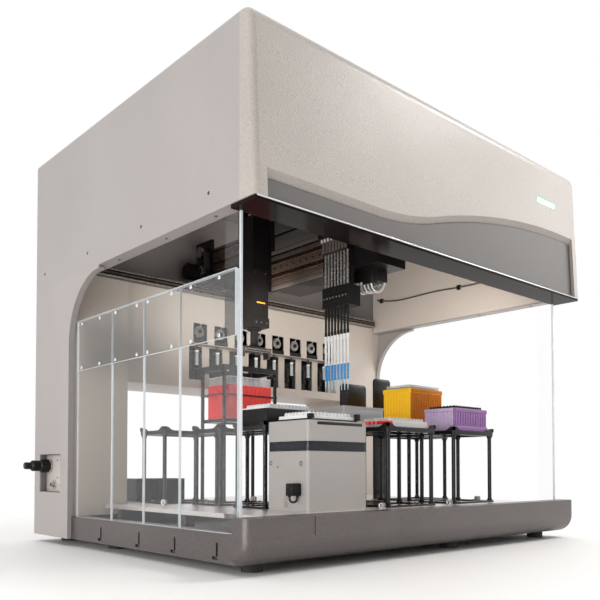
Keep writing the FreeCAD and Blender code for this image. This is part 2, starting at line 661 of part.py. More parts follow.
HOOD_SCREWS = ("-279", "-70", "142", "352")
hood_seats = [item for side in (-1, 1) for item in side_screws(
    ("-" if side < 0 else "") + HALF, HOOD_SCREWS, "hood_base + hood_screw_rise",
    "screw_radius + fit_gap", "screw_depth", side)]
HOOD_JOINT = "(%s + hood_lean + hood_nose_radius)" % FRONT
HOOD_EDGE = "(case_width/2 - hood_corner_radius)"
hood_body = fuse([hood_shell] + hood_flanges, "hood body")


def hood_share(x, y, name):
    """The share of the hood between X limits and Y limits."""
    share = doc.addObject("Part::Common", name)
    share.Base = hood_body
    share.Tool = block(x, y, ("hood_base - 1", "case_height + 1"), name + " limits")
    share.Refine = True
    return share


behind = (HOOD_JOINT, REAR + " + 1")
hood_front = hood_share(("-%s - 1" % HALF, HALF + " + 1"), (FRONT + " - 1", HOOD_JOINT),
                        "hood front share")
hood_top = hood_share(("-" + HOOD_EDGE, HOOD_EDGE), behind, "hood top share")
hood_top = cut(hood_top, [block(("-" + HOOD_EDGE, HOOD_EDGE), behind,
                                ("hood_base - 1", "case_height - 2*sheet"))])
hood_sides = mirrored(lambda span, side: cut(
    hood_share(span("case_width/2 - hood_flange_width - 2*sheet", HALF + " + 1"), behind,
               "hood side share"),
    [block(span("case_width/2 - hood_flange_width - 3*sheet", HOOD_EDGE), behind,
           ("case_height - 2*sheet", "case_height + 1"))]))
hood_sides = [cut(side, hood_seats[4*i:4*i + 4]) for i, side in enumerate(hood_sides)]
node("hood_case", group(hood_sides + [hood_top]))
node("hood_front", cut(hood_front, [wave_tool, lens_tool]))
node("front_lower_panel", extrude(face_sketch(wave_outline("0", "fit_gap", "1"), "recess_depth",
                                              "lower panel outline"), "panel_thickness", "lower panel"))
node("status_lens", extrude(face_sketch(lens_outline("fit_gap"), "lens_depth", "lens outline"),
                            "lens_depth", "lens"))
visor_front = FRONT + " + visor_setback"
visor_low = "hood_base - visor_thickness"
node("visor", block(("-visor_side", "visor_side"), (visor_front, visor_front + " + visor_depth"),
                    (visor_low, "hood_base")))

# Columns: a side sheet with a return flange that runs up the front edge and over the arch
ARCH_Y = "(column_front - arch_radius)"
ARCH_Z = "(hood_base - arch_web - arch_radius)"
column_outline = [
    (REAR, "foot_height"), (REAR, "hood_base"), (ARCH_Y, "hood_base"),
    (ARCH_Y, "hood_base - arch_web", "-arch_radius"),
    ("column_front", ARCH_Z), ("column_front", "foot_height"),
]
column_hollow = [
    (REAR + " + 1", "foot_height - 1"), (REAR + " + 1", "hood_base + 1"), (ARCH_Y + " - 1",
                                                                           "hood_base + 1"),
    (ARCH_Y + " - 1", "hood_base - arch_web + sheet"),
    (ARCH_Y, "hood_base - arch_web + sheet", "-(arch_radius + sheet)"),
    ("column_front + sheet", ARCH_Z), ("column_front + sheet", "foot_height - 1"),
]


def column(span, side):
    skin = profile("YZ", column_outline, *span(HALF + " - column_flange", HALF), "column skin")
    hollow = profile("YZ", column_hollow, *span(HALF + " - column_flange - 1", INNER), "column hollow")
    return cut(skin, [hollow], "column sheet")


left_column, right_column = mirrored(column)
recess = [("connector_y - connector_width/2", "connector_y + connector_width/2"),
          ("connector_z - connector_height/2", "connector_z + connector_height/2")]
left_column = cut(left_column, [block(("-(%s) - 1" % HALF, "-(%s) + 1" % INNER), *recess)],
                  "left column sheet")
node("columns", group([left_column, right_column]))

# Connector recess: a cup behind the window in the left column, with its sockets and a round plug
cup_outer = block(("-(%s)" % INNER, "-(%s) + connector_depth + 2" % INNER),
                  *[("%s - recess_rim" % low, "%s + recess_rim" % high) for low, high in recess])
cup_hollow = block(("-(%s) - 1" % INNER, "-(%s) + connector_depth" % INNER), *recess)
cup_floor = "-(%s) + connector_depth" % INNER
round_plug = fuse([
    rod("x", ("plug_y", "plug_z"), "plug_radius", cup_floor + " - plug_length*0.45", cup_floor),
    rod("x", ("plug_y", "plug_z"), "plug_radius*0.8", cup_floor + " - plug_length*0.8", cup_floor),
    rod("x", ("plug_y", "plug_z"), "plug_radius*0.55", cup_floor + " - plug_length", cup_floor),
], "round plug")
oval_y = "(connector_y - oval_offset)"
oval_span = (cup_floor + " - oval_depth", cup_floor)
oval_socket = fuse([
    block(oval_span, (oval_y + " - oval_width/2", oval_y + " + oval_width/2"),
          ("plug_z - oval_rise/2", "plug_z + oval_rise/2")),
    rod("x", (oval_y, "plug_z - oval_rise/2"), "oval_width/2", *oval_span),
    rod("x", (oval_y, "plug_z + oval_rise/2"), "oval_width/2", *oval_span),
], "oval socket")
coaxes = [rod("x", (y, "connector_z - coax_drop"), "coax_radius", cup_floor + " - coax_depth", cup_floor,
              "coax socket")
          for y in ("connector_y + coax_behind", "connector_y - coax_before")]
node("connector_panel", group([cut(cup_outer, [cup_hollow]), round_plug, oval_socket] + coaxes))


# Inner panels: front and side sheet of each column box, and the liners of the hood sides
def column_box(span, side):
    face = block(span("column_box_inner", INNER), ("column_front + sheet", "column_front + 2*sheet"),
                 ("tray_rail_top", "column_box_top"))
    inner_side = block(span("column_box_inner", "column_box_inner + sheet"),
                       ("column_front + 2*sheet", REAR + " - sheet"), ("tray_rail_top", "column_box_top"))
    return fuse([face, inner_side], "column box")


def liner(span, side):
    return block(span("liner_x", "liner_x + sheet"), ("liner_front", "column_front"),
                 ("hood_base + sheet", "liner_top"), "liner")


node("inner_panels", group(mirrored(column_box) + mirrored(liner)))

# Rear covers: hood, pump bay and columns
hood_cover = profile("XZ", [(INNER, "hood_base"), (INNER, "case_height - sheet"),
                            ("-(%s)" % INNER, "case_height - sheet"),
                            ("-(%s)" % INNER, "hood_base")], REAR + " - sheet", REAR, "hood rear cover")
round_edges(hood_cover, [name for place in ("-(%s)" % INNER, INNER) for name in edges_in(
    hood_cover.Shape, at(place), None, at("case_height - sheet"))], "hood_corner_radius - sheet + 1")
bay_cover = block(("-column_box_inner", "column_box_inner"), (REAR + " - sheet", REAR),
                  ("wall_low", "hood_base"))
column_covers = mirrored(lambda span, side: block(
    span("column_box_inner", INNER), (REAR + " - sheet", REAR), ("foot_height",
                                                                 "hood_base"), "column rear cover"))
node("rear_covers", group([hood_cover, bay_cover] + column_covers))

# Rear wall: a sheet that steps back around the pumps, with a row of windows and a ledge
BOX = "column_box_inner"
pump_xs = ["(pump_first_x + %d*pump_pitch)" % i for i in range(PUMPS)]
step_left = pump_xs[0] + " - pump_window/2 - step_margin"
step_right = pump_xs[-1] + " + pump_window/2 + step_margin"
step_back = "(wall_front + wall_step)"
lower_level = ("wall_low", "wall_step_top")
wall_pieces = [
    block(("-" + BOX, BOX), ("wall_front", "wall_front + sheet"), ("wall_step_top", "wall_top")),
    block(("-" + BOX, step_left), ("wall_front", "wall_front + sheet"), lower_level),
    block((step_right, BOX), ("wall_front", "wall_front + sheet"), lower_level),
    block((step_left, step_right), ("wall_front", "wall_front + sheet"),
          ("wall_low", "wall_low + wall_lip")),
    block((step_left, step_right), (step_back, step_back + " + sheet"), lower_level),
    block((step_left + " - sheet", step_left), ("wall_front", step_back + " + sheet"), lower_level),
    block((step_right, step_right + " + sheet"), ("wall_front", step_back + " + sheet"), lower_level),
    block((step_left + " - sheet", step_right + " + sheet"), ("wall_front", step_back + " + sheet"),
          ("wall_step_top - sheet", "wall_step_top")),
    block(("-" + BOX, BOX), ("wall_front", REAR + " - sheet"), ("wall_low", "wall_low + sheet")),
]
windows = []
for x in pump_xs:
    across = (x + " - pump_window/2", x + " + pump_window/2")
    windows.append(block(across, ("wall_front - 1", "wall_front + sheet + 1"),
                         ("window_low", "window_high")))
    windows.append(block(across, (step_back + " - 1", step_back + " + sheet + 1"),
                         ("wall_low + wall_lip", "wall_step_top - 2*sheet")))
node("rear_wall", cut(fuse(wall_pieces), windows))


# Syringe pumps: a body with a round valve and a bracket over the syringe, a barrel and a moving plunger
def pump(x):
    body = block((x + " - pump_width/2", x + " + pump_width/2"),
                 ("pump_front", "pump_front + pump_depth"),
                 ("wall_low + sheet", "pump_top"))
    valve = rod("y", (x, "valve_z"), "valve_radius", "valve_front", "pump_front")
    knob = rod("y", (x, "valve_z"), "valve_knob_radius", "wall_front + fit_gap", "valve_front", "knob")
    bracket = block((x + " - bracket_side/2", x + " + bracket_side/2"), ("syringe_y - 6", "pump_front"),
                    ("syringe_top", "syringe_top + bracket_height"))
    return fuse([body, valve, knob, bracket], "pump")


def barrel(x):
    low = "syringe_top - syringe_length"
    tube = rod("z", (x, "syringe_y"), "syringe_radius", low, "syringe_top")
    bore = rod("z", (x, "syringe_y"), "syringe_bore", low + " - 1", "syringe_top - 2")
    return cut(tube, [bore], "barrel")


def plunger(x):
    clamp_top = "syringe_top - syringe_length - fit_gap"
    piston = rod("z", (x, "syringe_y"), "syringe_bore - fit_gap", "syringe_top - 7", "syringe_top - 3")
    stem = rod("z", (x, "syringe_y"), "plunger_rod_radius", clamp_top + " - 1", "syringe_top - 6")
    clamp = block((x + " - clamp_side/2", x + " + clamp_side/2"),
                  ("syringe_y - 6", "pump_front - fit_gap"),
                  (clamp_top + " - plunger_clamp", clamp_top))
    return fuse([piston, stem, clamp], "plunger")


node("pump_bodies", group([pump(x) for x in pump_xs]))
node("syringe_barrels", group([barrel(x) for x in pump_xs]))
for i, x in enumerate(pump_xs):
    node("plunger_%d" % (i + 1), plunger(x))

# Base: tray with slotted rails, deck plate on posts, bumper and feet
tray_outline = [
    ("tray_side", "tray_front"), ("tray_side", "column_front"), ("tray_rear_side", "column_front"),
    ("tray_rear_side", "tray_rear"), ("-tray_rear_side", "tray_rear"), ("-tray_rear_side",
                                                                        "column_front"),
    ("-tray_side", "column_front"), ("-tray_side", "tray_front"),
]
tray_body = profile("XY", tray_outline, "foot_height", "tray_rail_top", "tray body")
tray_hollow = block(("-(tray_side - tray_wall)", "tray_side - tray_wall"),
                    ("tray_front + tray_end_wall", "tray_rear - tray_end_wall"), ("tray_floor",
                                                                                  "tray_rail_top + 1"))
TRAY_SLOTS = ("89", "-57", "-175", "-295")
slots = []
for side in (-1, 1):
    near, far = ("-tray_side - 1", "-tray_side + slot_depth") if side < 0 else ("tray_side - slot_depth",
                                                                                "tray_side + 1")
    for place in TRAY_SLOTS:
        upright = block((near, far), (place, place + " + slot_width"), ("slot_low", "slot_high"))
        foot = block((near, far), (place, place + " + 3*slot_width"),
                     ("slot_low", "slot_low + slot_width"))
        slots.append(fuse([upright, foot], "cable slot"))
deck_under = "(deck_top - deck_thickness)"
posts = []
for x in ("-deck_side + post_inset", "0", "deck_side - post_inset"):
    for y in ("deck_front + post_inset", "post_mid_y", "column_front - post_inset"):
        posts.append(block(("%s - deck_post/2" % x, "%s + deck_post/2" % x),
                           ("%s - deck_post/2" % y, "%s + deck_post/2" % y),
                           ("tray_floor", deck_under)))
node("base_tray", fuse([cut(tray_body, [tray_hollow] + slots)] + posts))
deck_outline = [
    ("deck_side", "deck_front"), ("deck_side", "column_front - sheet"), ("deck_rear_side",
                                                                         "column_front - sheet"),
    ("deck_rear_side", "deck_rear"), ("-deck_rear_side", "deck_rear"), ("-deck_rear_side",
                                                                        "column_front - sheet"),
    ("-deck_side", "column_front - sheet"), ("-deck_side", "deck_front"),
]
node("deck_plate", profile("XY", deck_outline, deck_under, "deck_top", "deck"))
bumper_front = "(tray_front - bumper_depth)"
bumper_body = profile("YZ", [
    ("tray_front", "foot_height"), ("tray_front", "bumper_top"), (bumper_front, "bumper_top"),
    (bumper_front, "foot_height + bumper_depth", "bumper_depth"),
], "-(%s)" % HALF, HALF, "bumper body")
bumper_ends = []
for place in ("-(%s)" % HALF, HALF):
    for name in edges_in(bumper_body.Shape, at(place), (value(bumper_front), value("tray_front")),
                         (value("foot_height"), value("bumper_top"))):
        bumper_ends.append(name)
flat = edges_in(bumper_body.Shape, None, at("tray_front"), None) + edges_in(bumper_body.Shape, None,
                                                                            None, at("bumper_top"))
round_edges(bumper_body, [name for name in bumper_ends if name not in flat], "bumper_end_radius")
node("bumper", cut(bumper_body, [block(("field_left", "field_right"),
                                       (bumper_front + " - 1", bumper_front + " + field_depth"),
                                       ("field_low", "bumper_top - 3"))]))
FEET = (("-foot_side_x", "foot_front_y"), ("foot_mid_x", "foot_front_y"), ("foot_side_x", "foot_front_y"),
        ("-foot_side_x", "foot_mid_y"), ("foot_side_x", "foot_mid_y"),
        ("-foot_side_x", "foot_rear_y - foot_column_step"), ("foot_side_x",
                                                             "foot_rear_y - foot_column_step"))
node("feet", group([rod("z", place, "foot_radius", "0", "foot_height", "foot") for place in FEET]))

# Clear side panels on the left, the strip across them and a tall guard at each front edge
joints = ("panel_front", "panel_joint_a", "panel_joint_b", "panel_joint_c", "panel_rear")
left_panels = [block(("-panel_x", "-panel_x + clear_sheet"),
                     (near + " + panel_gap/2", far + " - panel_gap/2"),
                     ("tray_rail_top", "panel_top"), "side panel") for near, far in zip(joints,
                                                                                        joints[1:])]
strip = block(("-panel_x - clear_sheet", "-panel_x"), ("panel_front + panel_gap", "strip_rear"),
              ("strip_low", "panel_top + panel_gap"), "strip")
guards = mirrored(lambda span, side: block(
    span("panel_x - 2*clear_sheet", "panel_x - clear_sheet"), ("guard_front", "guard_rear"),
    ("tray_rail_top", visor_low), "edge guard"))
node("side_panels", group(left_panels + [strip] + guards))

# Gantry: two X rails, the bridge beam with its own rails, its drive, and the pod on the beam's left face
rail_rear_top = "(rail_rear_low + rail_rear_height)"
rail_front_top = "(rail_front_low + rail_front_height)"
rear_rail = block(("-rail_rear_side", "rail_rear_side"), ("rail_rear_front", "column_front + sheet"),
                  ("rail_rear_low", rail_rear_top))
front_rail = block(("-liner_x", "liner_x"), ("rail_front_y", "rail_front_y + rail_front_depth"),
                   ("rail_front_low", rail_front_top))
rear_middle = "(rail_rear_low + rail_rear_height/2)"
front_middle = "(rail_front_low + rail_front_height/2)"


def grooved(rail, x, y, middle):
    """A rail with two grooves along one face."""
    low, high = middle + " - groove_height*1.3", middle + " + groove_height*0.3"
    return cut(rail, [block(x, y, (place, place + " + groove_height")) for place in (low, high)],
               "grooved rail")


node("x_rails", group([
    grooved(rear_rail, ("-rail_rear_side - 1", "rail_rear_side + 1"),
            ("rail_rear_front - 1", "rail_rear_front + groove_depth"), rear_middle),
    grooved(front_rail, ("-liner_x - 1", "liner_x + 1"),
            ("rail_front_y + rail_front_depth - groove_depth",
             "rail_front_y + rail_front_depth + 1"), front_middle),
]))

beam_right = "(beam_left + beam_width)"
beam_top = "(beam_low + beam_height)"
across_beam = ("beam_left", beam_right)
beam_parts = [
    block(across_beam, ("beam_front", "beam_rear"), ("beam_low", beam_top)),
    block(across_beam, ("rail_front_y", "beam_front"), (rail_front_top + " + fit_gap", beam_top)),
    block(across_beam, ("rail_rear_front - beam_carrier_lap", "column_front + sheet - 0.5"),
          (rail_rear_top + " + fit_gap", "beam_low")),
]
for i in range(2):
    low = "beam_rail_low + %d*beam_rail_pitch" % i
    beam_parts.append(block(("beam_left - beam_rail", "beam_left"),
                            ("beam_front + beam_rail_start", "drive_front - beam_rail_gap"),
                            (low, low + " + beam_rail_height")))
node("bridge_beam", fuse(beam_parts))
drive_face = "(beam_left - drive_plate)"
plate = block((drive_face, "beam_left"), ("drive_front", "beam_rear"), ("beam_low", "drive_top"))
drive_motor = rod("x", ("beam_rear - drive_motor_offset", "beam_low + drive_motor_offset"),
                  "drive_motor_radius",
                  drive_face + " - drive_motor_length", drive_face)
drive_pulleys = [rod("x", (y, z), "pulley_radius", drive_face + " - pulley_length", drive_face)
                 for y, z in (("drive_front + pulley_a_y", "beam_low + pulley_a_z"),
                              ("drive_front + pulley_b_y", "beam_low + pulley_b_z"))]
node("bridge_drive", group([plate, drive_motor] + drive_pulleys))

pod_right = "(beam_left - beam_rail - fit_gap)"
pod_left = "(%s - pod_plate)" % pod_right
probe_ys = ["(probe_front_y + %d*probe_pitch)" % i for i in range(PROBES)]


def guide(y, back, name):
    """One probe guide: a lower comb block, an upper block with a tube hook, and the strip that joins them."""
    across = (y + " - comb_width/2", y + " + comb_width/2")
    front = "probe_x - guide_half"
    hook_low = "guide_upper_top - hook_drop"
    parts = [
        block((front, "comb_back"), across, ("comb_low", "comb_high")),
        block(("guide_back_left", back), across, ("comb_high", "guide_upper_top")),
        block((front, back), across, ("guide_upper_low", "guide_upper_top")),
        block((front + " - hook_reach", front), across, (hook_low, hook_low + " + hook_thickness")),
        block((front + " - hook_reach", front + " - hook_reach + hook_thickness*0.75"), across,
              (hook_low + " + hook_thickness", hook_low + " + hook_thickness + hook_height")),
    ]
    bore = rod("z", ("probe_x", y), "guide_bore", "comb_low - 1", "guide_upper_top + 1")
    return cut(fuse(parts), [bore], name)


def probe(y, name):
    """One probe: tip, barrel, sleeve, mandrel and rod turned about one axis."""
    body = doc.addObject("PartDesign::Body", name)
    sketch = body.newObject("Sketcher::SketchObject", name + " outline")
    base = [item for item in body.Origin.OriginFeatures if item.Role == "XZ_Plane"][0]
    sketch.AttachmentSupport = [(base, "")]
    sketch.MapMode = "FlatFace"
    draw(sketch, [
        ("0", "probe_tip_z"), ("tip_mouth", "probe_tip_z"), ("tip_cone_radius",
                                                             "probe_barrel_z"), ("sleeve_radius",
                                                                                 "probe_barrel_z"),
        ("sleeve_radius", "probe_sleeve_z"), ("mandrel_radius", "probe_sleeve_z"),
        ("mandrel_radius", "probe_mandrel_z"), ("shaft_radius", "probe_mandrel_z"),
        ("shaft_radius", "comb_low - fit_gap"), ("probe_rod_radius",
                                                 "comb_low - fit_gap"), ("probe_rod_radius",
                                                                         "probe_rod_top"),
        ("0", "probe_rod_top"),
    ])
    turned = body.newObject("PartDesign::Revolution", name + " turned")
    turned.Profile = sketch
    turned.ReferenceAxis = (sketch, ["V_Axis"])
    turned.Angle = 360
    bind(body, "Placement.Base.x", "probe_x")
    bind(body, "Placement.Base.y", y)
    doc.recompute()
    return body


pod_parts = [
    block((pod_left, pod_right), ("pod_front", "pod_rear"), ("pod_low", "pod_top")),
    block((pod_right, "pod_box_right"), ("pod_front", "pod_box_rear"), ("pod_low", "pod_box_top")),
    guide(probe_ys[-1], pod_left, "fixed guide"),
]
carriage = fuse(pod_parts, "carriage")
for i in range(PROBES - 1):
    node("probe_slider_%d" % (i + 1), guide(probe_ys[i], pod_left + " - fit_gap", "slider"))
for i in range(PROBES):
    node("probe_rod_%d" % (i + 1), probe(probe_ys[i], "probe"))

tubing_low = "(pod_low - tubing_block_height)"
tubing_block = block(("tubing_left", "tubing_right"),
                     ("probe_front_y - tubing_margin",
                      "probe_front_y - tubing_margin + (loop_count + 0.6)*tubing_pitch"),
                     (tubing_low, "pod_low"))


def tube_loop(i):
    """One half loop of tube under the connector."""
    ring = doc.addObject("Part::Torus", "tube loop")
    bind(ring, "Radius1", "loop_radius - %d*loop_step" % i)
    bind(ring, "Radius2", "tube_radius")
    ring.Angle3 = 180
    turn = FreeCAD.Rotation(FreeCAD.Vector(1, 0, 0), -90)
    ring.Placement = FreeCAD.Placement(FreeCAD.Vector(), turn)
    bind(ring, "Placement.Base.x", "(tubing_left + tubing_right)/2")
    bind(ring, "Placement.Base.y", "probe_front_y - tubing_margin + 6 + %d*tubing_pitch" % i)
    bind(ring, "Placement.Base.z", tubing_low)
    return ring


node("pod_tubing", group([tubing_block] + [tube_loop(i) for i in range(int(value("loop_count")))]))

# Gripper: a tower on the pod, a mast that slides on it, a wrist that turns and two fingers
mast_left = "(mast_x - mast_side/2)"
mast_right = "(mast_x + mast_side/2)"
mast_y_span = ("mast_y - mast_side/2", "mast_y + mast_side/2")
tower = block((mast_right + " + fit_gap", pod_left), mast_y_span, ("pod_low", "tower_top"), "tower")
node("pod_housing", group([carriage, tower]))
teeth = int(value("(mast_top + rack_rise - rack_low)/rack_tooth"))
rack_left = "(mast_x - rack_width)"
rack_outline = [(rack_left + " + rack_width", "rack_low"),
                (rack_left + " + rack_width", "rack_low + %d*rack_tooth" % teeth)]
for i in range(teeth, 0, -1):
    rack_outline.append((rack_left, "rack_low + %d*rack_tooth" % i))
    rack_outline.append((rack_left, "rack_low + (%d - 0.4)*rack_tooth" % i))
    rack_outline.append((rack_left + " + rack_tooth_depth", "rack_low + (%d - 0.55)*rack_tooth" % i))
    rack_outline.append((rack_left + " + rack_tooth_depth", "rack_low + (%d - 0.85)*rack_tooth" % i))
rack_outline.append((rack_left, "rack_low"))
mast_rear = "(mast_y + mast_side/2)"
rack = profile("XZ", rack_outline, mast_rear, mast_rear + " + rack_depth", "rack")
mast = fuse([
    block((mast_left + " + mast_step", mast_right), ("mast_y - mast_side/2 + mast_step", mast_rear),
          ("mast_low", "mast_top")),
    block((mast_left, mast_right), mast_y_span, ("mast_low", "mast_cover_top")),
    block((mast_left + " - flange_reach", mast_right), ("mast_y - mast_side/2 - flange_reach", mast_rear),
          ("mast_low", "mast_low + mast_flange")),
    rack,
])
light_slot = block((mast_left + " + light_left", mast_right + " - light_right"),
                   ("mast_y - mast_side/2 - 1", "mast_y - mast_side/2 + light_depth"),
                   ("mast_low + light_low", "mast_low + light_low + light_height"))
node("gripper_mast", cut(mast, [light_slot]))
wrist_parts = [
    rod("z", ("mast_x", "mast_y"), "wrist_disc_radius", "mast_low - wrist_disc - fit_gap",
        "mast_low - fit_gap"),
    rod("z", ("mast_x", "mast_y"), "wrist_shaft_radius", "jaw_top", "mast_low - wrist_disc - fit_gap"),
    block(("mast_x - jaw_length/2", "mast_x + jaw_length/2"),
          ("mast_y - jaw_depth/2", "mast_y + jaw_depth/2"),
          ("jaw_low", "jaw_top")),
]
node("gripper_wrist", fuse(wrist_parts))


def finger(near, far):
    return block((near, far), ("mast_y - finger_width/2", "mast_y + finger_width/2"),
                 ("finger_low", "jaw_low - fit_gap"), "finger")


node("finger_a", finger("mast_x - jaw_length/2", "mast_x - jaw_length/2 + finger_thickness"))
node("finger_b", finger("mast_x + jaw_length/2 - finger_thickness", "mast_x + jaw_length/2"))


# Labware frames: a base ring on the deck, four posts and a top ring with corner lugs
def corner_span(centre, half, side, size):
    """A size inwards from the edge that lies half a length from the centre on one side."""
    edge = "(%s + (%s)*%s)" % (centre, side, half)
    return (edge, edge + " + " + size) if side == "-1" else (edge + " - " + size, edge)


def open_ring(x, y, low, high, bar_x, bar_y, name):
    outer = block((x + " - frame_length/2", x + " + frame_length/2"),
                  (y + " - frame_depth/2", y + " + frame_depth/2"),
                  (low, high))
    hole = block(("%s - frame_length/2 + %s" % (x, bar_x), "%s + frame_length/2 - %s" % (x, bar_x)),
                 ("%s - frame_depth/2 + %s" % (y, bar_y), "%s + frame_depth/2 - %s" % (y, bar_y)),
                 (low + " - 1", high + " + 1"))
    return cut(outer, [hole], name)


def frame(x, y):
    ring_low = "(frame_top - frame_ring)"
    base_top = "(deck_top + frame_base)"
    ring = open_ring(x, y, ring_low, "frame_top", "frame_bar_x", "frame_bar_y", "ring")
    base = open_ring(x, y, "deck_top", base_top, "frame_base_bar", "frame_base_bar", "frame base")
    lugs, legs = [], []
    for side_x in ("-1", "1"):
        for side_y in ("-1", "1"):
            lugs.append(block(corner_span(x, "frame_length/2", side_x, "lug_thickness"),
                              corner_span(y, "frame_depth/2", side_y, "lug_length"),
                              ("frame_top", "frame_top + lug_height")))
            legs.append(block(corner_span(x, "frame_length/2", side_x, "frame_post"),
                              corner_span(y, "frame_depth/2", side_y, "frame_post"),
                              (base_top, ring_low), "frame post"))
    return [fuse([ring] + lugs, "frame ring"), base] + legs


FRAMES = (("mid_x", "row_a_y"), ("right_x", "row_a_y"), ("left_x", "row_b_y"), ("mid_x", "row_b_y"),
          ("tall_box_x", "tall_box_y"), ("left_x", "row_c_y"), ("empty_rear_x", "row_d_y"))
positioners = [piece for x, y in FRAMES for piece in frame(x, y)]


# Reservoir stand: a ring over a shelf, on four posts
def stand_level(low, high, hole_x, hole_y):
    outer = block(("stand_left", "stand_right"), ("stand_front", "stand_rear"), (low, high))
    hole = block(("stand_left + " + hole_x, "stand_right - " + hole_x),
                 ("stand_front + " + hole_y, "stand_rear - " + hole_y),
                 (low + " - 1", high + " + 1"))
    corners = [block(span_x, span_y, (low + " - 1", high + " + 1"))
               for span_x in (("stand_left - 1", "stand_left + stand_post"),
                              ("stand_right - stand_post", "stand_right + 1"))
               for span_y in (("stand_front - 1", "stand_front + stand_post"),
                              ("stand_rear - stand_post", "stand_rear + 1"))]
    return outer, hole, corners


ring_outer, ring_hole, _ = stand_level("stand_top - stand_ring", "stand_top", "stand_post", "4")
shelf_outer, shelf_hole, shelf_corners = stand_level("reservoir_low - 8", "reservoir_low",
                                                     "2*stand_post", "2*stand_post")
stand_ring_piece = cut(ring_outer, [ring_hole], "stand ring")
shelf = cut(cut(shelf_outer, [shelf_hole]), shelf_corners, "stand shelf")
stand_posts = [block(span_x, span_y, ("deck_top", "stand_top - stand_ring"), "stand post")
               for span_x in (("stand_left", "stand_left + stand_post"),
                              ("stand_right - stand_post", "stand_right"))
               for span_y in (("stand_front", "stand_front + stand_post"),
                              ("stand_rear - stand_post", "stand_rear"))]
positioners += [stand_ring_piece, shelf] + stand_posts


def shield(left, right, top):
    body = profile("XZ", [(right, "deck_top"), (right, top), (left, top), (left, "deck_top")],
                   "shield_y", "shield_y + shield_thickness", "shield")
    return round_edges(body, [name for place in (left, right) for name in edges_in(
        body.Shape, at(place), None, at(top)) if name not in edges_in(body.Shape, None, at("shield_y"),
                                                                      None)
        and name not in edges_in(body.Shape, None, at("shield_y + shield_thickness"),
                                 None)], "shield_corner")


positioners += [shield("shield_a_left", "shield_a_right", "shield_a_top"),
                shield("shield_b_left", "shield_b_right", "shield_b_top")]
node("positioners", group(positioners))

# Reservoir: an open trough with fluted sides
def flutes(start, end, count):
    """Corners of a row of outward arcs from start up to end, both (x, y) expressions."""
    corners = []
    for i in range(count):
        share = "%d/%d" % (i, count)
        place = ["%s + ((%s) - (%s))*%s" % (a, b, a, share) for a, b in zip(start, end)]
        chord = "(abs((%s) - (%s)) + abs((%s) - (%s)))/%d" % (end[0], start[0], end[1], start[1], count)
        corners.append((place[0], place[1], "((%s)^2/4 + flute_depth^2)/(2*flute_depth)" % chord))
    return corners


RESERVOIR_X = ("reservoir_left + flute_depth", "reservoir_left + reservoir_length - flute_depth")
RESERVOIR_Y = ("reservoir_front + flute_depth", "reservoir_front + plate_width - flute_depth")
along, across = int(value("flute_count")), int(value("flute_rows"))
reservoir_corners = [(RESERVOIR_X[0], RESERVOIR_Y[0]), (RESERVOIR_X[1], RESERVOIR_Y[0]),
                     (RESERVOIR_X[1], RESERVOIR_Y[1]), (RESERVOIR_X[0], RESERVOIR_Y[1])]
reservoir_outline = []
for i, count in enumerate((along, across, along, across)):
    reservoir_outline += flutes(reservoir_corners[i], reservoir_corners[(i + 1) % 4], count)
reservoir_body = profile("XY", reservoir_outline, "reservoir_low", "reservoir_low + reservoir_height",
                         "reservoir body")
hollow_inset = "flute_depth + reservoir_wall"
reservoir_hollow = block(("reservoir_left + " + hollow_inset,
                          "reservoir_left + reservoir_length - (%s)" % hollow_inset),
                         ("reservoir_front + " + hollow_inset,
                          "reservoir_front + plate_width - (%s)" % hollow_inset),
                         ("reservoir_low + reservoir_wall", "reservoir_low + reservoir_height + 1"))
node("reservoir", cut(reservoir_body, [reservoir_hollow]))


# Labware: plates and racks on the frames
def labware(x, y, low, height, name):
    return block(("%s - plate_length/2" % x, "%s + plate_length/2" % x),
                 ("%s - plate_width/2" % y, "%s + plate_width/2" % y),
                 (low, "%s + %s" % (low, height)), name)


def grid_places(x, y, pitch):
    """The 12 by 8 places of the standard labware grid."""
    return [("%s + (%d - 5.5)*%s" % (x, i, pitch), "%s + (%d - 3.5)*%s" % (y, j, pitch))
            for i in range(12) for j in range(8)]


def well_plate(x, y, low, height, square, name):
    """A plate on a wider skirt, with a grid of round or square wells."""
    top = "(%s + %s)" % (low, height)
    skirt = labware(x, y, low, "plate_skirt", name + " skirt")
    body = block(("%s - plate_length/2 + plate_inset" % x, "%s + plate_length/2 - plate_inset" % x),
                 ("%s - plate_width/2 + plate_inset" % y, "%s + plate_width/2 - plate_inset" % y),
                 (low + " + plate_skirt", top))
    wells = []
    for place_x, place_y in grid_places(x, y, "well_pitch"):
        if square:
            wells.append(block((place_x + " - well_side/2", place_x + " + well_side/2"),
                               (place_y + " - well_side/2", place_y + " + well_side/2"),
                               (top + " - well_depth", top + " + 1")))
        else:
            wells.append(rod("z", (place_x, place_y), "well_radius", top + " - well_depth", top + " + 1",
                             "well"))
    return cut(fuse([skirt, body]), wells, name)


node("white_plates", group([
    well_plate("mid_x", "row_a_y", "frame_top", "(plate_height + plate_extra)", False, "plate"),
    well_plate("left_x", "row_b_y", "frame_top", "rack_height", True, "rack"),
    well_plate("mid_x", "row_b_y", "frame_top", "deep_height", True, "deep plate"),
    well_plate("left_x", "shaker_y", "shaker_top", "(plate_height + shaker_plate_extra)", False,
               "shaker plate"),
]))
low_box = labware("right_x", "row_a_y", "frame_top", "low_box_height", "low box")
box_top = "frame_top + low_box_height"
tips = [rod("z", place, "tip_radius", box_top, box_top + " + tip_height", "tip")
        for place in grid_places("right_x", "row_a_y", "tip_pitch")]
node("tip_box_low", fuse([low_box] + tips))


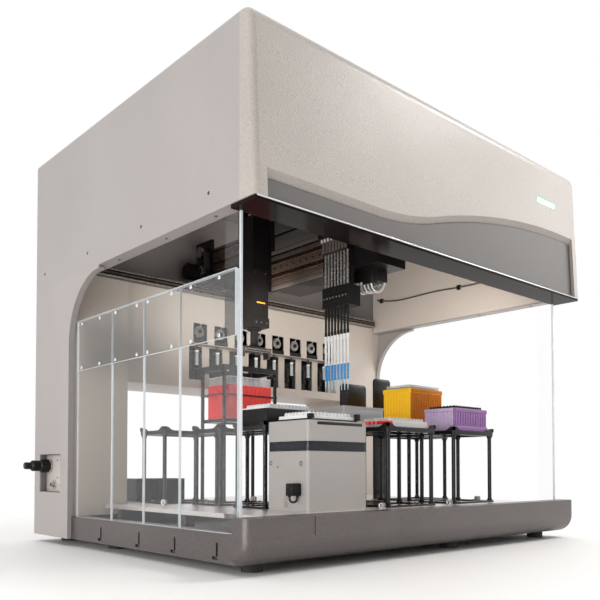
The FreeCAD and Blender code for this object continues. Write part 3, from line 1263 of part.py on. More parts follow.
def ribs(x, y, low, high):
    """Upright ribs on the four walls of a labware box."""
    pieces = []
    for half_run, half_reach, turned in (("plate_length/2", "plate_width/2", False),
                                         ("plate_width/2", "plate_length/2", True)):
        count = int(value("(%s*2 - 2*rib_margin)/rib_pitch" % half_run)) + 1
        for side in ("-1", "1"):
            for i in range(count):
                middle = "(%d - %s)*rib_pitch" % (i, (count - 1) / 2)
                run = ["%s - rib_width/2" % middle, "%s + rib_width/2" % middle]
                if side == "1":
                    reach = ["%s - rib_depth" % half_reach, half_reach]
                else:
                    reach = ["-%s" % half_reach, "-%s + rib_depth" % half_reach]
                spans = (reach, run) if turned else (run, reach)
                pieces.append(block(["%s + %s" % (x, t) for t in spans[0]],
                                    ["%s + %s" % (y, t) for t in spans[1]],
                                    (low, high), "rib"))
    return pieces


tall_top = "(frame_top + tall_box_height)"
tall_x = ("tall_box_x - plate_length/2", "tall_box_x + plate_length/2")
tall_y = ("tall_box_y - plate_width/2", "tall_box_y + plate_width/2")
tall_core = block((tall_x[0] + " + rib_depth", tall_x[1] + " - rib_depth"),
                  (tall_y[0] + " + rib_depth", tall_y[1] + " - rib_depth"), ("frame_top", tall_top))
tall_rims = [block(tall_x, tall_y, span) for span in
             (("frame_top", "frame_top + rib_margin"), (tall_top + " - rib_margin", tall_top))]
tall_box = fuse([tall_core] + tall_rims + ribs("tall_box_x", "tall_box_y", "frame_top + rib_margin",
                                               tall_top + " - rib_margin"))
lid_x = (tall_x[0] + " + lid_inset", tall_x[1] + " - lid_inset")
lid_y = (tall_y[0] + " + lid_inset", tall_y[1] + " - lid_inset")
lid = cut(block(lid_x, lid_y, (tall_top, tall_top + " + lid_height")),
          [block((lid_x[0] + " + lid_wall", lid_x[1] + " - lid_wall"),
                 (lid_y[0] + " + lid_wall", lid_y[1] + " - lid_wall"),
                 (tall_top + " - 1", tall_top + " + lid_height - lid_wall"))], "lid")
node("tip_box_tall", group([tall_box, lid]))


# Orbital shaker: base with a dark band, and a cap with a slot along its right front edge
def shaker_solid(low, high, inset, name):
    half_x, half_y = "(frame_length/2 - %s)" % inset, "(shaker_depth/2 - %s)" % inset
    body = profile("XY", [("left_x + " + half_x, "shaker_y - " + half_y),
                          ("left_x + " + half_x, "shaker_y + " + half_y),
                          ("left_x - " + half_x, "shaker_y + " + half_y), ("left_x - " + half_x,
                                                                           "shaker_y - " + half_y)],
                   low, high, name)
    upright = [n for n in edges_in(body.Shape) if n not in edges_in(body.Shape, None, None, at(low))
               and n not in edges_in(body.Shape, None, None, at(high))]
    return round_edges(body, upright, "shaker_radius - " + inset)


node("shaker_base", fuse([
    shaker_solid("deck_top", "shaker_band_low", "0", "shaker lower"),
    shaker_solid("shaker_band_low", "shaker_band_top", "band_inset", "shaker band"),
]))
cap = shaker_solid("shaker_band_top", "shaker_top", "0", "cap solid")
cap_slot = block(("left_x - frame_length/2 + cap_slot_inset", "left_x + frame_length/2 + 1"),
                 ("shaker_y - shaker_depth/2 - 1", "shaker_y - shaker_depth/2 + cap_slot_depth"),
                 ("shaker_top - cap_slot_height - 2", "shaker_top - 2"))
node("shaker_cap", cut(cap, [cap_slot]))
shaker_left = "(left_x - frame_length/2)"
plug_middle = "(shaker_y - shaker_depth/4)"
lead_low = "(deck_top + lead_plug_low)"
lead_plug = block((shaker_left + " - lead_plug_length", shaker_left),
                  (plug_middle + " - lead_plug_width/2", plug_middle + " + lead_plug_width/2"),
                  (lead_low, lead_low + " + lead_plug_height"))
lead_loop = doc.addObject("Part::Torus", "lead loop")
lead_loop.Angle3 = 180
lead_loop.Placement = FreeCAD.Placement(FreeCAD.Vector(), FreeCAD.Rotation(FreeCAD.Vector(1, 0, 0), -90))
for prop, text in (("Radius1", "lead_loop_radius"), ("Radius2", "lead_radius"),
                   ("Placement.Base.y", plug_middle),
                   ("Placement.Base.x", shaker_left + " - lead_plug_length/2"), ("Placement.Base.z",
                                                                                 lead_low)):
    bind(lead_loop, prop, text)
node("shaker_lead", group([lead_plug, lead_loop]))
CONTROLLER_SPANS = (("-282", "-242"), ("-229", "-150"))
controllers = [block(span, ("controller_front", "controller_front + controller_depth"),
                     ("deck_top", "deck_top + controller_height"), "controller")
               for span in CONTROLLER_SPANS]
node("controller_boxes", group(controllers))

# Clipped cable on the right liner, held by two clips
CABLE_ROUTE = ((205, 654), (165, 643), (110, 639), (52, 641), (-10, 642), (-73, 638), (-132, 637),
               (-190, 641), (-238, 652))
cable_x = value("liner_x - cable_radius - fit_gap")
route = [FreeCAD.Vector(cable_x, y, z) for y, z in CABLE_ROUTE]
edges = []
start = route[0]
for before, corner, after in zip(route, route[1:], route[2:]):
    back, ahead = before - corner, after - corner
    half_turn = (math.pi - back.getAngle(ahead)) / 2
    reach = 0.45 * min(back.Length, ahead.Length)
    radius = reach / math.tan(half_turn)
    print("cable radius", round(radius))
    entry = corner + back.normalize() * reach
    leave = corner + ahead.normalize() * reach
    bisector = (back + ahead).normalize()
    centre = corner + bisector * (radius / math.cos(half_turn))
    middle = centre - bisector * radius
    edges += [Part.LineSegment(start, entry).toShape(), Part.Arc(entry, middle, leave).toShape()]
    start = leave
edges.append(Part.LineSegment(start, route[-1]).toShape())
path = Part.Wire(edges)
section = Part.Wire(Part.Circle(route[0], route[1] - route[0], value("cable_radius")).toShape())
cable = doc.addObject("Part::Feature", "cable")
cable.Shape = path.makePipeShell([section], True, True)
CLIP_PLACES = (("189", "648.5"), ("-81", "637.7"))


def clip(y, z):
    """A clip screwed to the liner that grips the cable from below and above."""
    solid = block(("liner_x - 3*cable_radius", "liner_x"), (y + " - clip_width/2", y + " + clip_width/2"),
                  (z + " - clip_height/2", z + " + clip_height/2"))
    hole = block(("liner_x - 2*cable_radius - 2*fit_gap", "liner_x + 1"),
                 (y + " - clip_width/2 - 1", y + " + clip_width/2 + 1"),
                 (z + " - cable_radius - clip_slack", z + " + cable_radius + clip_slack"))
    return cut(solid, [hole], "clip")


node("clipped_cable", group([cable] + [clip(y, z) for y, z in CLIP_PLACES]))

# Fasteners: flush hood screws, strip screws, flange screws and deck thumbscrews
fasteners = [item for side in (-1, 1) for item in side_screws(
    ("-" if side < 0 else "") + HALF, HOOD_SCREWS, "hood_base + hood_screw_rise",
    "screw_radius", "screw_depth", side)]
FLANGE_SCREWS = ("36", "-133", "-280")
STRIP_SCREWS = ("181", "103", "38", "-43", "-81", "-160", "-218", "-297")
for z in ("strip_low + strip_screw_low", "panel_top - strip_screw_high"):
    for y in STRIP_SCREWS:
        fasteners.append(rod("x", (y, z), "screw_radius", "-panel_x - clear_sheet - screw_depth",
                             "-panel_x - clear_sheet"))
for x in ("-(liner_x + flange_screw_offset)", "liner_x + flange_screw_offset"):
    for y in FLANGE_SCREWS:
        fasteners.append(rod("z", (x, y), "screw_radius", "hood_base - screw_depth", "hood_base"))
THUMBSCREWS = (("-323", "110"), ("-84", "110"), ("-100", "-50"), ("-91", "-290"), ("120", "-168"),
               ("330", "-217"), ("120", "-290"))
for place in THUMBSCREWS:
    fasteners.append(rod("z", place, "thumb_radius", "deck_top", "deck_top + thumb_height"))
node("fasteners", group(fasteners))

doc.recompute()
for obj in doc.Objects:
    if "Invalid" in obj.State or "Error" in obj.State:
        raise RuntimeError("%s (%s): %s" % (obj.Name, obj.Label, obj.State))
os.makedirs("parts", exist_ok=True)
for obj in NODES:
    shape = obj.Shape
    if shape.isNull() or not shape.isValid() or not shape.Solids:
        raise RuntimeError("no valid solid in " + obj.Label)
    shape.exportStep("parts/%s.step" % obj.Label)
print(len(NODES), "nodes", sum(len(obj.Shape.Solids) for obj in NODES), "solids")
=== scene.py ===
import bmesh
import bpy
import json
from math import atan2, cos, hypot, pi, radians, sin
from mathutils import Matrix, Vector


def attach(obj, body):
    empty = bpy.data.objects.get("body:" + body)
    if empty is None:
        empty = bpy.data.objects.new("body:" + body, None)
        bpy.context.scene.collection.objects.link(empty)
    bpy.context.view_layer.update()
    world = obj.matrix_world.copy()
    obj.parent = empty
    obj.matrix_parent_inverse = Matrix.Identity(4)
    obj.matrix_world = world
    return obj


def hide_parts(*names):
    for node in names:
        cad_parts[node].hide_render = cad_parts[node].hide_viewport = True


# Automated liquid handler: looks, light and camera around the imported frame.
# X is to the right seen from the front, -Y is the front, Z is up. The frame is in metres,
# and the pieces are drawn in millimetres.
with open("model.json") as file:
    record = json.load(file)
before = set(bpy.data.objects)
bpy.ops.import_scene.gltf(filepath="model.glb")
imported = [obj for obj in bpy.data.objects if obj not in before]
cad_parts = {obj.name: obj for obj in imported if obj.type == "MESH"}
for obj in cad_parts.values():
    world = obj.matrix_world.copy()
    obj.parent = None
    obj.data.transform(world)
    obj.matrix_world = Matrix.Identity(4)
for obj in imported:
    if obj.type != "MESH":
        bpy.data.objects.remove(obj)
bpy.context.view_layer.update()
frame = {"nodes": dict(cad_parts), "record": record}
scene = bpy.context.scene
scene.view_settings.view_transform = "Standard"
MM = 0.001
WHITE = (1, 1, 1, 1)
TURN = 2 * pi

# Materials
NOISE_LOW, NOISE_HIGH = 0.3, 0.7
FINE_DETAIL, FINE_SHARE = 4.0, 0.7
BROAD_SCALE, BROAD_DETAIL, BROAD_SHARE = 6.0, 2.0, 0.3
RELIEF_DEPTH = 0.0005
SHARP_ANGLE = 35


def put(name, data):
    """A new object in the scene."""
    obj = bpy.data.objects.new(name, data)
    scene.collection.objects.link(obj)
    return obj


def node(tree, kind, operation=None):
    """A new shader node, with its operation where it has one."""
    made = tree.nodes.new("ShaderNode" + kind)
    if operation:
        made.operation = operation
    return made


def link(tree, source, output, target, value):
    """Joins a node's output to another node's input."""
    tree.links.new(source.outputs[output], target.inputs[value])


def node_tree(name):
    """A new material, its node tree and its main shader."""
    material = bpy.data.materials.new(name)
    material.use_nodes = True
    tree = material.node_tree
    shader = next(n for n in tree.nodes if n.type == "BSDF_PRINCIPLED")
    return material, tree, shader


def noise_factor(tree, scale, detail=3.0, stretch=(1, 1, 1)):
    """The value of a noise in the object's own metres."""
    place = node(tree, "TexCoord")
    mapping = node(tree, "Mapping")
    mapping.inputs["Scale"].default_value = stretch
    noise = node(tree, "TexNoise")
    noise.inputs["Scale"].default_value = scale
    noise.inputs["Detail"].default_value = detail
    link(tree, place, "Object", mapping, "Vector")
    link(tree, mapping, "Vector", noise, "Vector")
    return noise.outputs["Fac"]


def remap(tree, factor, low, high):
    """A noise's middle range spread from low to high."""
    spread = node(tree, "MapRange")
    for name, value in (("From Min", NOISE_LOW), ("From Max", NOISE_HIGH), ("To Min", low), ("To Max", high)):
        spread.inputs[name].default_value = value
    tree.links.new(factor, spread.inputs["Value"])
    return spread.outputs["Result"]


def surface(colour, rough, metallic=0.0, *, shade, grain=300, bump=0.0, stretch=(1, 1, 1), rough_spread=0.06,
        alpha=1.0, coat=0.0, specular=0.5, glow=0.0):
    """A surface whose colour, gloss and relief vary with a fine and a broad noise."""
    material, tree, shader = node_tree("surface")
    fine = noise_factor(tree, grain, FINE_DETAIL, stretch)
    broad = noise_factor(tree, BROAD_SCALE, BROAD_DETAIL)
    mix = node(tree, "Mix")
    mix.data_type = "RGBA"
    mix.inputs["A"].default_value = tuple(c * (1 - shade) for c in colour) + (1,)
    mix.inputs["B"].default_value = tuple(min(1, c * (1 + shade)) for c in colour) + (1,)
    blend = node(tree, "Math", "MULTIPLY_ADD")
    blend.inputs[1].default_value = FINE_SHARE
    tree.links.new(remap(tree, fine, 0, 1), blend.inputs[0])
    tree.links.new(remap(tree, broad, 0, BROAD_SHARE), blend.inputs[2])
    link(tree, blend, "Value", mix, "Factor")
    link(tree, mix, "Result", shader, "Base Color")
    tree.links.new(remap(tree, fine, max(0, rough - rough_spread), min(1, rough + rough_spread)),
            shader.inputs["Roughness"])
    for name, value in (("Metallic", metallic), ("Alpha", alpha), ("Coat Weight", coat),
            ("Specular IOR Level", specular)):
        shader.inputs[name].default_value = value
    if glow:
        shader.inputs["Emission Color"].default_value = tuple(colour) + (1,)
        shader.inputs["Emission Strength"].default_value = glow
    if bump:
        relief = node(tree, "Bump")
        relief.inputs["Strength"].default_value = bump
        relief.inputs["Distance"].default_value = RELIEF_DEPTH
        tree.links.new(fine, relief.inputs["Height"])
        link(tree, relief, "Normal", shader, "Normal")
    return material


LOOKS = {
    "hood paint": surface((0.33, 0.306, 0.298), 0.4, shade=0.09, grain=430, bump=0.5, rough_spread=0.12),
    # The hood front has the hood's paint; this lighter, warmer copy is painted light on the lit front.
    "front paint": surface((0.395, 0.358, 0.33), 0.38, shade=0.15, grain=430, bump=0.7, rough_spread=0.14),
    "side paint": surface((0.345, 0.318, 0.312), 0.45, shade=0.08, grain=520, bump=0.3, rough_spread=0.1),
    "panel paint": surface((0.112, 0.102, 0.096), 0.44, shade=0.14, grain=600, bump=0.35, specular=0.3),
    "dark paint": surface((0.136, 0.121, 0.117), 0.36, shade=0.2, grain=560, bump=0.9,
        metallic=0.75, rough_spread=0.14),
    "black metal": surface((0.009, 0.008, 0.008), 0.34, shade=0.2, grain=500, bump=0.12, specular=0.22),
    "black plastic": surface((0.01, 0.0095, 0.0095), 0.42, shade=0.2, grain=700, bump=0.15, specular=0.22),
    "rubber": surface((0.02, 0.02, 0.02), 0.7, shade=0.2, grain=700, bump=0.3),
    "tinted": surface((0.012, 0.009, 0.008), 0.12, shade=0.2, grain=60, rough_spread=0.02, specular=0.02),
    "deck metal": surface((0.8, 0.77, 0.75), 0.34, 0.85, shade=0.06, grain=60, stretch=(1, 14, 1), bump=0.08),
    "rail metal": surface((0.5, 0.47, 0.44), 0.26, 0.9, shade=0.05, grain=500, bump=0.03),
    "steel": surface((0.36, 0.345, 0.335), 0.24, 0.95, shade=0.08, bump=0.06),
    "grey metal": surface((0.16, 0.15, 0.145), 0.38, 0.6, shade=0.12, grain=420, bump=0.15),
    "white": surface((0.66, 0.64, 0.63), 0.34, shade=0.04, bump=0.05),
    "screw": surface((0.1, 0.095, 0.09), 0.34, 0.7, shade=0.15, grain=800, bump=0.1),
    # Clear and coloured plastics, and finishes that only pieces use
    "clear": surface((0.9, 0.92, 0.93), 0.06, shade=0.03, grain=40, rough_spread=0.02, alpha=0.022),
    "clear overlay": surface((0.78, 0.79, 0.8), 0.06, shade=0.03, grain=40, rough_spread=0.02, alpha=0.028),
    # Sawn acrylic edges are paler; their glow is a painted highlight, not a lamp.
    "clear edge": surface((0.72, 0.76, 0.79), 0.15, shade=0.06, grain=90, alpha=0.62, glow=0.12),
    "clear tube": surface((0.86, 0.85, 0.82), 0.12, shade=0.08, grain=120, alpha=0.55),
    "clear box": surface((0.88, 0.9, 0.91), 0.1, shade=0.05, grain=200, alpha=0.32),
    "glass": surface((0.8, 0.84, 0.84), 0.05, shade=0.04, grain=120, alpha=0.45),
    "lens white": surface((0.93, 0.95, 0.94), 0.22, shade=0.02, glow=0.25),
    "lens green": surface((0.02, 0.55, 0.22), 0.25, shade=0.08, glow=0.35),
    "orange light": surface((1.0, 0.22, 0.01), 0.3, shade=0.2, grain=400, glow=1.2),
    # The red glows a little though it is no lamp: painted light.
    "red": surface((0.8, 0.012, 0.006), 0.16, shade=0.22, grain=90, stretch=(1, 1, 0.2), coat=0.3,
                   glow=0.18),
    # The yellow glows a little though it is no lamp: painted light.
    "yellow": surface((1.0, 0.58, 0.03), 0.32, shade=0.07, grain=90, specular=0.15, glow=0.22),
    "purple": surface((0.27, 0.115, 0.34), 0.3, shade=0.09, bump=0.05, coat=0.15),
    "blue": surface((0.012, 0.29, 0.66), 0.3, shade=0.06, coat=0.2),
    "ivory": surface((0.86, 0.86, 0.86), 0.3, shade=0.03, coat=0.15),
    "tip": surface((0.62, 0.78, 0.86), 0.18, shade=0.05, grain=200, alpha=0.75),
    "valve": surface((0.4, 0.385, 0.37), 0.3, 0.8, shade=0.15, grain=500, bump=0.1),
    "cable grey": surface((0.085, 0.074, 0.068), 0.5, shade=0.15, grain=500, bump=0.05),
    "cable": surface((0.018, 0.017, 0.017), 0.5, shade=0.2, grain=500, bump=0.1),
    "shaker paint": surface((0.4, 0.375, 0.36), 0.4, shade=0.06, grain=520, bump=0.2),
    "shaker band": surface((0.012, 0.014, 0.019), 0.24, shade=0.15, grain=520, bump=0.05, specular=0.3),
    "deep grey": surface((0.52, 0.51, 0.505), 0.32, shade=0.04, bump=0.05),
    "clear plate": surface((0.8, 0.78, 0.78), 0.16, shade=0.05, alpha=0.72),
    # A pale strip that stands in for the highlight under the hood front: painted highlight.
    "edge bright": surface((0.82, 0.84, 0.87), 0.2, 0.3, shade=0.03),
    "gloss black": surface((0.01, 0.01, 0.011), 0.24, shade=0.2, grain=400, rough_spread=0.08,
                           specular=0.3),
    # A darker, redder copy of the yellow for the tall rack's shaded front face: painted shade.
    "orange": surface((0.74, 0.225, 0.004), 0.3, shade=0.07, grain=90, specular=0.12),
    # A lighter copy of the purple for faces that light falls on: painted light.
    "lilac": surface((0.66, 0.5, 0.74), 0.28, shade=0.07, bump=0.05, coat=0.15),
    "rod grey": surface((0.4, 0.375, 0.36), 0.26, 0.55, shade=0.08, bump=0.04),
    "guide grey": surface((0.2, 0.165, 0.145), 0.34, 0.5, shade=0.12, grain=400, bump=0.1),
    "beam brown": surface((0.145, 0.11, 0.092), 0.3, 0.6, shade=0.12, grain=400, bump=0.06),
    # Thin amber strips that stand in for orange glints on the rails: painted highlights.
    "amber": surface((0.42, 0.17, 0.06), 0.3, 0.6, shade=0.15, bump=0.05),
    # Inside panels and the rear wall: the hood's beige paint made lighter, painted light for the lit inside.
    "inner paint": surface((0.56, 0.5, 0.445), 0.45, shade=0.1, grain=420, bump=0.3),
    "wall paint": surface((0.52, 0.465, 0.41), 0.45, shade=0.1, grain=420, bump=0.3),
    "recess paint": surface((0.5, 0.47, 0.45), 0.5, shade=0.06, grain=520, bump=0.2),
    "rim paint": surface((0.16, 0.145, 0.14), 0.5, shade=0.1, grain=520, bump=0.2),
}
for name, material in LOOKS.items():
    material.name = name
# Slots and nodes whose look has another name; what pieces stand for is plain white
SLOT_LOOKS = {"light_paint": "side paint", "tinted_plastic": "tinted", "screw_metal": "steel", "glass": "white",
        "lens": "white"}
for slot in ("clear", "white", "red", "yellow", "purple"):
    SLOT_LOOKS[slot + "_plastic"] = "white"
NODE_LOOKS = {
    "hood_case": "hood paint", "hood_front": "front paint", "inner_panels": "inner paint",
    "rear_wall": "wall paint", "shaker_base": "shaker paint", "shaker_cap": "shaker paint",
    "gripper_wrist": "black metal",
}


def dress(obj, look):
    """Gives every material slot of an object one look."""
    if not obj.data.materials:
        obj.data.materials.append(LOOKS[look])
    for i in range(len(obj.data.materials)):
        obj.data.materials[i] = LOOKS[look]


slots = {part["node"]: part["material_slot"] for part in frame["record"]["subparts"]}
for name, obj in frame["nodes"].items():
    slot = slots[name]
    dress(obj, NODE_LOOKS.get(name) or SLOT_LOOKS.get(slot) or slot.replace("_", " "))


class Shape:
    """Solids gathered into one mesh, in millimetres; each takes the look that is in use."""

    def __init__(self, look):
        self.mesh = bmesh.new()
        self.looks = []
        self.use(look)

    def use(self, look):
        """Gives the solids that follow this look."""
        if look not in self.looks:
            self.looks.append(look)
        self.current = self.looks.index(look)

    def add(self, part):
        """Joins a solid to the mesh in the look that is in use."""
        bmesh.ops.recalc_face_normals(part, faces=part.faces[:])
        for face in part.faces:
            face.material_index = self.current
            face.smooth = True
        data = bpy.data.meshes.new("part")
        part.to_mesh(data)
        part.free()
        self.mesh.from_mesh(data)
        bpy.data.meshes.remove(data)

    def block(self, x, y, z, edge):
        """A box with rounded edges."""
        part = bmesh.new()
        bmesh.ops.create_cube(part, size=1)
        spans = (x, y, z)
        for vertex in part.verts:
            vertex.co = Vector([low + (at + 0.5) * (high - low) for at, (low, high) in zip(vertex.co, spans)])
        if edge:
            self.round_edges(part, min(edge, min(high - low for low, high in spans) * 0.45))
        self.add(part)

    def round_edges(self, part, edge):
        """Rounds every edge of a solid."""
        bmesh.ops.bevel(part, geom=part.edges[:], offset=edge, segments=2, affect="EDGES", profile=0.5)

    def turned(self, axis, centre, outline, steps=24, closed=False):
        """A body of revolution: outline gives (radius, place along the axis)."""
        part = bmesh.new()
        rings = []
        for radius, height in outline:
            turns = angles(TURN, steps)[:-1] if radius else [0]
            rings.append([part.verts.new(on_axis(axis, centre, radius * cos(a), radius * sin(a), height))
                    for a in turns])
        pairs = list(zip(rings, rings[1:]))
        if closed:
            pairs.append((rings[-1], rings[0]))
        for one, two in pairs:
            for i in range(steps):
                corners = [one[i % len(one)], one[(i + 1) % len(one)], two[(i + 1) % len(two)],
                        two[i % len(two)]]
                corners = [c for k, c in enumerate(corners) if c not in corners[:k]]
                if len(corners) > 2:
                    part.faces.new(corners)
        if not closed:
            for ring in (rings[0], rings[-1]):
                if len(ring) > 2:
                    part.faces.new(ring)
        self.add(part)

    def prism(self, axis, outline, low, high, edge=0.0):
        """An outline in the plane across an axis, drawn out from low to high."""
        part = bmesh.new()
        base = [part.verts.new(on_axis(axis, (0, 0), u, v, low)) for u, v in outline]
        face = part.faces.new(base)
        top = bmesh.ops.extrude_face_region(part, geom=[face])["geom"]
        shift = Vector(on_axis(axis, (0, 0), 0, 0, high - low))
        bmesh.ops.translate(part, vec=shift, verts=[v for v in top if isinstance(v, bmesh.types.BMVert)])
        if edge:
            self.round_edges(part, edge)
        self.add(part)

    def tube(self, points, radius, steps=10):
        """A round tube along points, with closed ends."""
        part = bmesh.new()
        points = [Vector(p) for p in points]
        side = None
        rings = []
        for i, point in enumerate(points):
            ahead = (points[min(i + 1, len(points) - 1)] - points[max(i - 1, 0)]).normalized()
            if side is None:
                side = ahead.orthogonal().normalized()
            side = (side - ahead * side.dot(ahead)).normalized()
            up = ahead.cross(side)
            rings.append([part.verts.new(point + (side * cos(a) + up * sin(a)) * radius)
                    for a in angles(TURN, steps)[:-1]])
        for one, two in zip(rings, rings[1:]):
            for k in range(steps):
                part.faces.new((one[k], one[(k + 1) % steps], two[(k + 1) % steps], two[k]))
        part.faces.new(rings[0])
        part.faces.new(rings[-1])
        self.add(part)

    def screw(self, axis, centre, face, out, radius=3.0, height=1.5, look="steel", socket_shade="black metal"):
        """A screw head standing out of a face (out is 1 or -1 along the axis), with a dark disc for its socket:
        painted shade.
        """
        self.use(look)
        rise = face + out * height
        self.turned(axis, centre, [(radius, face), (radius, face + out * height * 0.6),
                (radius * 0.75, rise), (radius * 0.5, rise)], 16)
        # A disc where the socket is, dark by default: painted shade in the hollow.
        self.use(socket_shade)
        self.turned(axis, centre, [(radius * 0.5, rise), (radius * 0.42, rise + out * 0.05)], 6)

    def finish(self, name, body, slot, *replaced):
        """Makes the object, on its body and in place of the frame's nodes that it replaces."""
        bmesh.ops.scale(self.mesh, vec=(MM, MM, MM), verts=self.mesh.verts)
        data = bpy.data.meshes.new(name)
        self.mesh.to_mesh(data)
        self.mesh.free()
        data.set_sharp_from_angle(angle=radians(SHARP_ANGLE))
        obj = put(name, data)
        for look in self.looks:
            data.materials.append(LOOKS[look])
        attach(obj, body)
        if replaced:
            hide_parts(*replaced)
        return obj


def on_axis(axis, centre, u, v, height):
    """The point at (u, v) across an axis and a height along it."""
    if axis == "x":
        return (height, centre[0] + u, centre[1] + v)
    if axis == "y":
        return (centre[0] + u, height, centre[1] + v)
    return (centre[0] + u, centre[1] + v, height)


def angles(total, steps):
    """Angles from 0 to total in even steps, both ends included."""
    return [total * k / steps for k in range(steps + 1)]


def within(span, inset):
    """A span made shorter by the same amount at both ends."""
    return span[0] + inset, span[1] - inset


def ends(span, length):
    """The two end pieces of a span."""
    return (span[0], span[0] + length), (span[1] - length, span[1])


# Clear side panels: sheets with pale sawn edges, brightened by a painted glow, and a strip screwed across them
PANEL_JOINTS = (-339, -178, -60, 60, 210)
PANEL_X, PANEL_Z = (-470, -466), (61, 462)
STRIP_X, STRIP_Y, STRIP_Z = (-474, -470), (-338, 203), (360, 463)
GUARD_X, GUARD_Z = (462, 466), (61, 551)
SHEET_SKIN, SHEET_INSET, SHEET_RIM = 0.05, 0.6, 0.75


def sheet_of_plastic(shape, x, y, z, look):
    """A clear sheet across X whose four narrow faces are paler and glow a little: a painted highlight."""
    shape.use(look)
    for face in ends(x, SHEET_SKIN):
        shape.block(face, within(y, SHEET_INSET), within(z, SHEET_INSET), 0)
    shape.use("clear edge")
    for side in ends(y, SHEET_RIM):
        shape.block(x, side, z, 0.3)
    for side in ends(z, SHEET_RIM):
        shape.block(x, within(y, SHEET_RIM), side, 0.3)


panels = Shape("clear")
for joints in zip(PANEL_JOINTS, PANEL_JOINTS[1:]):
    sheet_of_plastic(panels, PANEL_X, within(joints, 0.5), PANEL_Z, "clear")
sheet_of_plastic(panels, STRIP_X, STRIP_Y, STRIP_Z, "clear overlay")
for side in (-1, 1):
    guard = sorted(side * x for x in GUARD_X)
    panels.use("clear")
    panels.block(guard, (-336.5, -300), within(GUARD_Z, 0.5), 0.3)
    # The guard's edge glows: a painted highlight.
    panels.use("clear edge")
    panels.block(guard, (-341, -337), GUARD_Z, 0.5)
panels.finish("clear_panels", "root", "clear_plastic", "side_panels")

# Screws and thumbscrews
CASE_SIDE, HOOD_LOW, DECK_TOP, FOOT_TOP = 481.2, 557, 84, 88
HOOD_SCREW_Y, HOOD_SCREW_Z = (-279, -70, 142, 352), 590
FLANGE_SCREW_X, FLANGE_SCREW_Y = 469, (36, -133, -280)
STRIP_SCREW_Y, STRIP_SCREW_Z = (181, 103, 38, -43, -81, -160, -218, -297), (365.5, 455)
THUMB_PLACES = ((-323, 110), (-84, 110), (-100, -50), (-91, -290), (120, -168), (330, -217), (120, -290))
KNURL = [(radius * cos(a), radius * sin(a)) for a, radius in zip(angles(TURN, 36), (6.4, 7) * 18)]
screws = Shape("steel")
for side in (-1, 1):
    for y in HOOD_SCREW_Y:
        screws.screw("x", (y, HOOD_SCREW_Z), side * CASE_SIDE, side, 3.0, 1.2, "screw")
    for y in FLANGE_SCREW_Y:
        screws.screw("z", (side * FLANGE_SCREW_X, y), HOOD_LOW, -1)
for z in STRIP_SCREW_Z:
    for y in STRIP_SCREW_Y:
        screws.screw("x", (y, z), STRIP_X[0], -1, 3.0, 1.5, "ivory", "steel")
screws.use("steel")
for x, y in THUMB_PLACES:
    screws.prism("z", [(x + u, y + v) for u, v in KNURL], 85.5, 93.5)
    screws.turned("z", (x, y), [(6.2, DECK_TOP), (6.2, 95), (3.6, 95), (3.2, 94.2), (0, 94.2)])
screws.finish("screws_and_thumbscrews", "root", "screw_metal", "fasteners")

# Status lens: white, with a green rim along its upper and right edges
HOOD_FRONT = -397.5
HOOD_LEAN = atan2(13, 290)


def on_hood_front(x, rise, depth):
    """A point on the leaning hood front: along it, up from its lower edge and behind its face."""
    return (x, HOOD_FRONT + rise * sin(HOOD_LEAN) + depth * cos(HOOD_LEAN),
            HOOD_LOW + rise * cos(HOOD_LEAN) - depth * sin(HOOD_LEAN))


def front_plate(shape, outline, low_depth, high_depth, look):
    """A thin plate on the hood front, from an outline of (x, rise) points."""
    shape.use(look)
    part = bmesh.new()
    rings = [[part.verts.new(on_hood_front(x, rise, depth)) for x, rise in outline]
            for depth in (low_depth, high_depth)]
    for i in range(len(outline)):
        j = (i + 1) % len(outline)
        part.faces.new((rings[0][i], rings[0][j], rings[1][j], rings[1][i]))
    part.faces.new(rings[0])
    part.faces.new(rings[1])
    shape.add(part)


def lens_outline(left, right, low, high, radius):
    """Straight left end and upper edge, rounded lower right corner."""
    corner = [(right - radius + radius * sin(a), low + radius - radius * cos(a)) for a in angles(pi / 2, 8)]
    return [(left, low)] + corner + [(right, high), (left, high)]


lens = Shape("lens white")
front_plate(lens, lens_outline(312.3, 389.7, 188.3, 203.7, 7.7), 0.3, 2.0, "lens green")
front_plate(lens, lens_outline(313.0, 386.6, 189.2, 200.4, 6.0), 0.02, 0.3, "lens white")
lens.finish("status_light", "root", "lens", "status_lens")

# Painted highlight: a bright strip along the edge under the moulded front, over the visor
painted_edge_strip = Shape("edge bright")
painted_edge_strip.block((-478, 478), (-397.2, -394.7), (555.0, 556.9), 0.4)
painted_edge_strip.finish("front_edge_painted_highlight", "root", "light_paint")

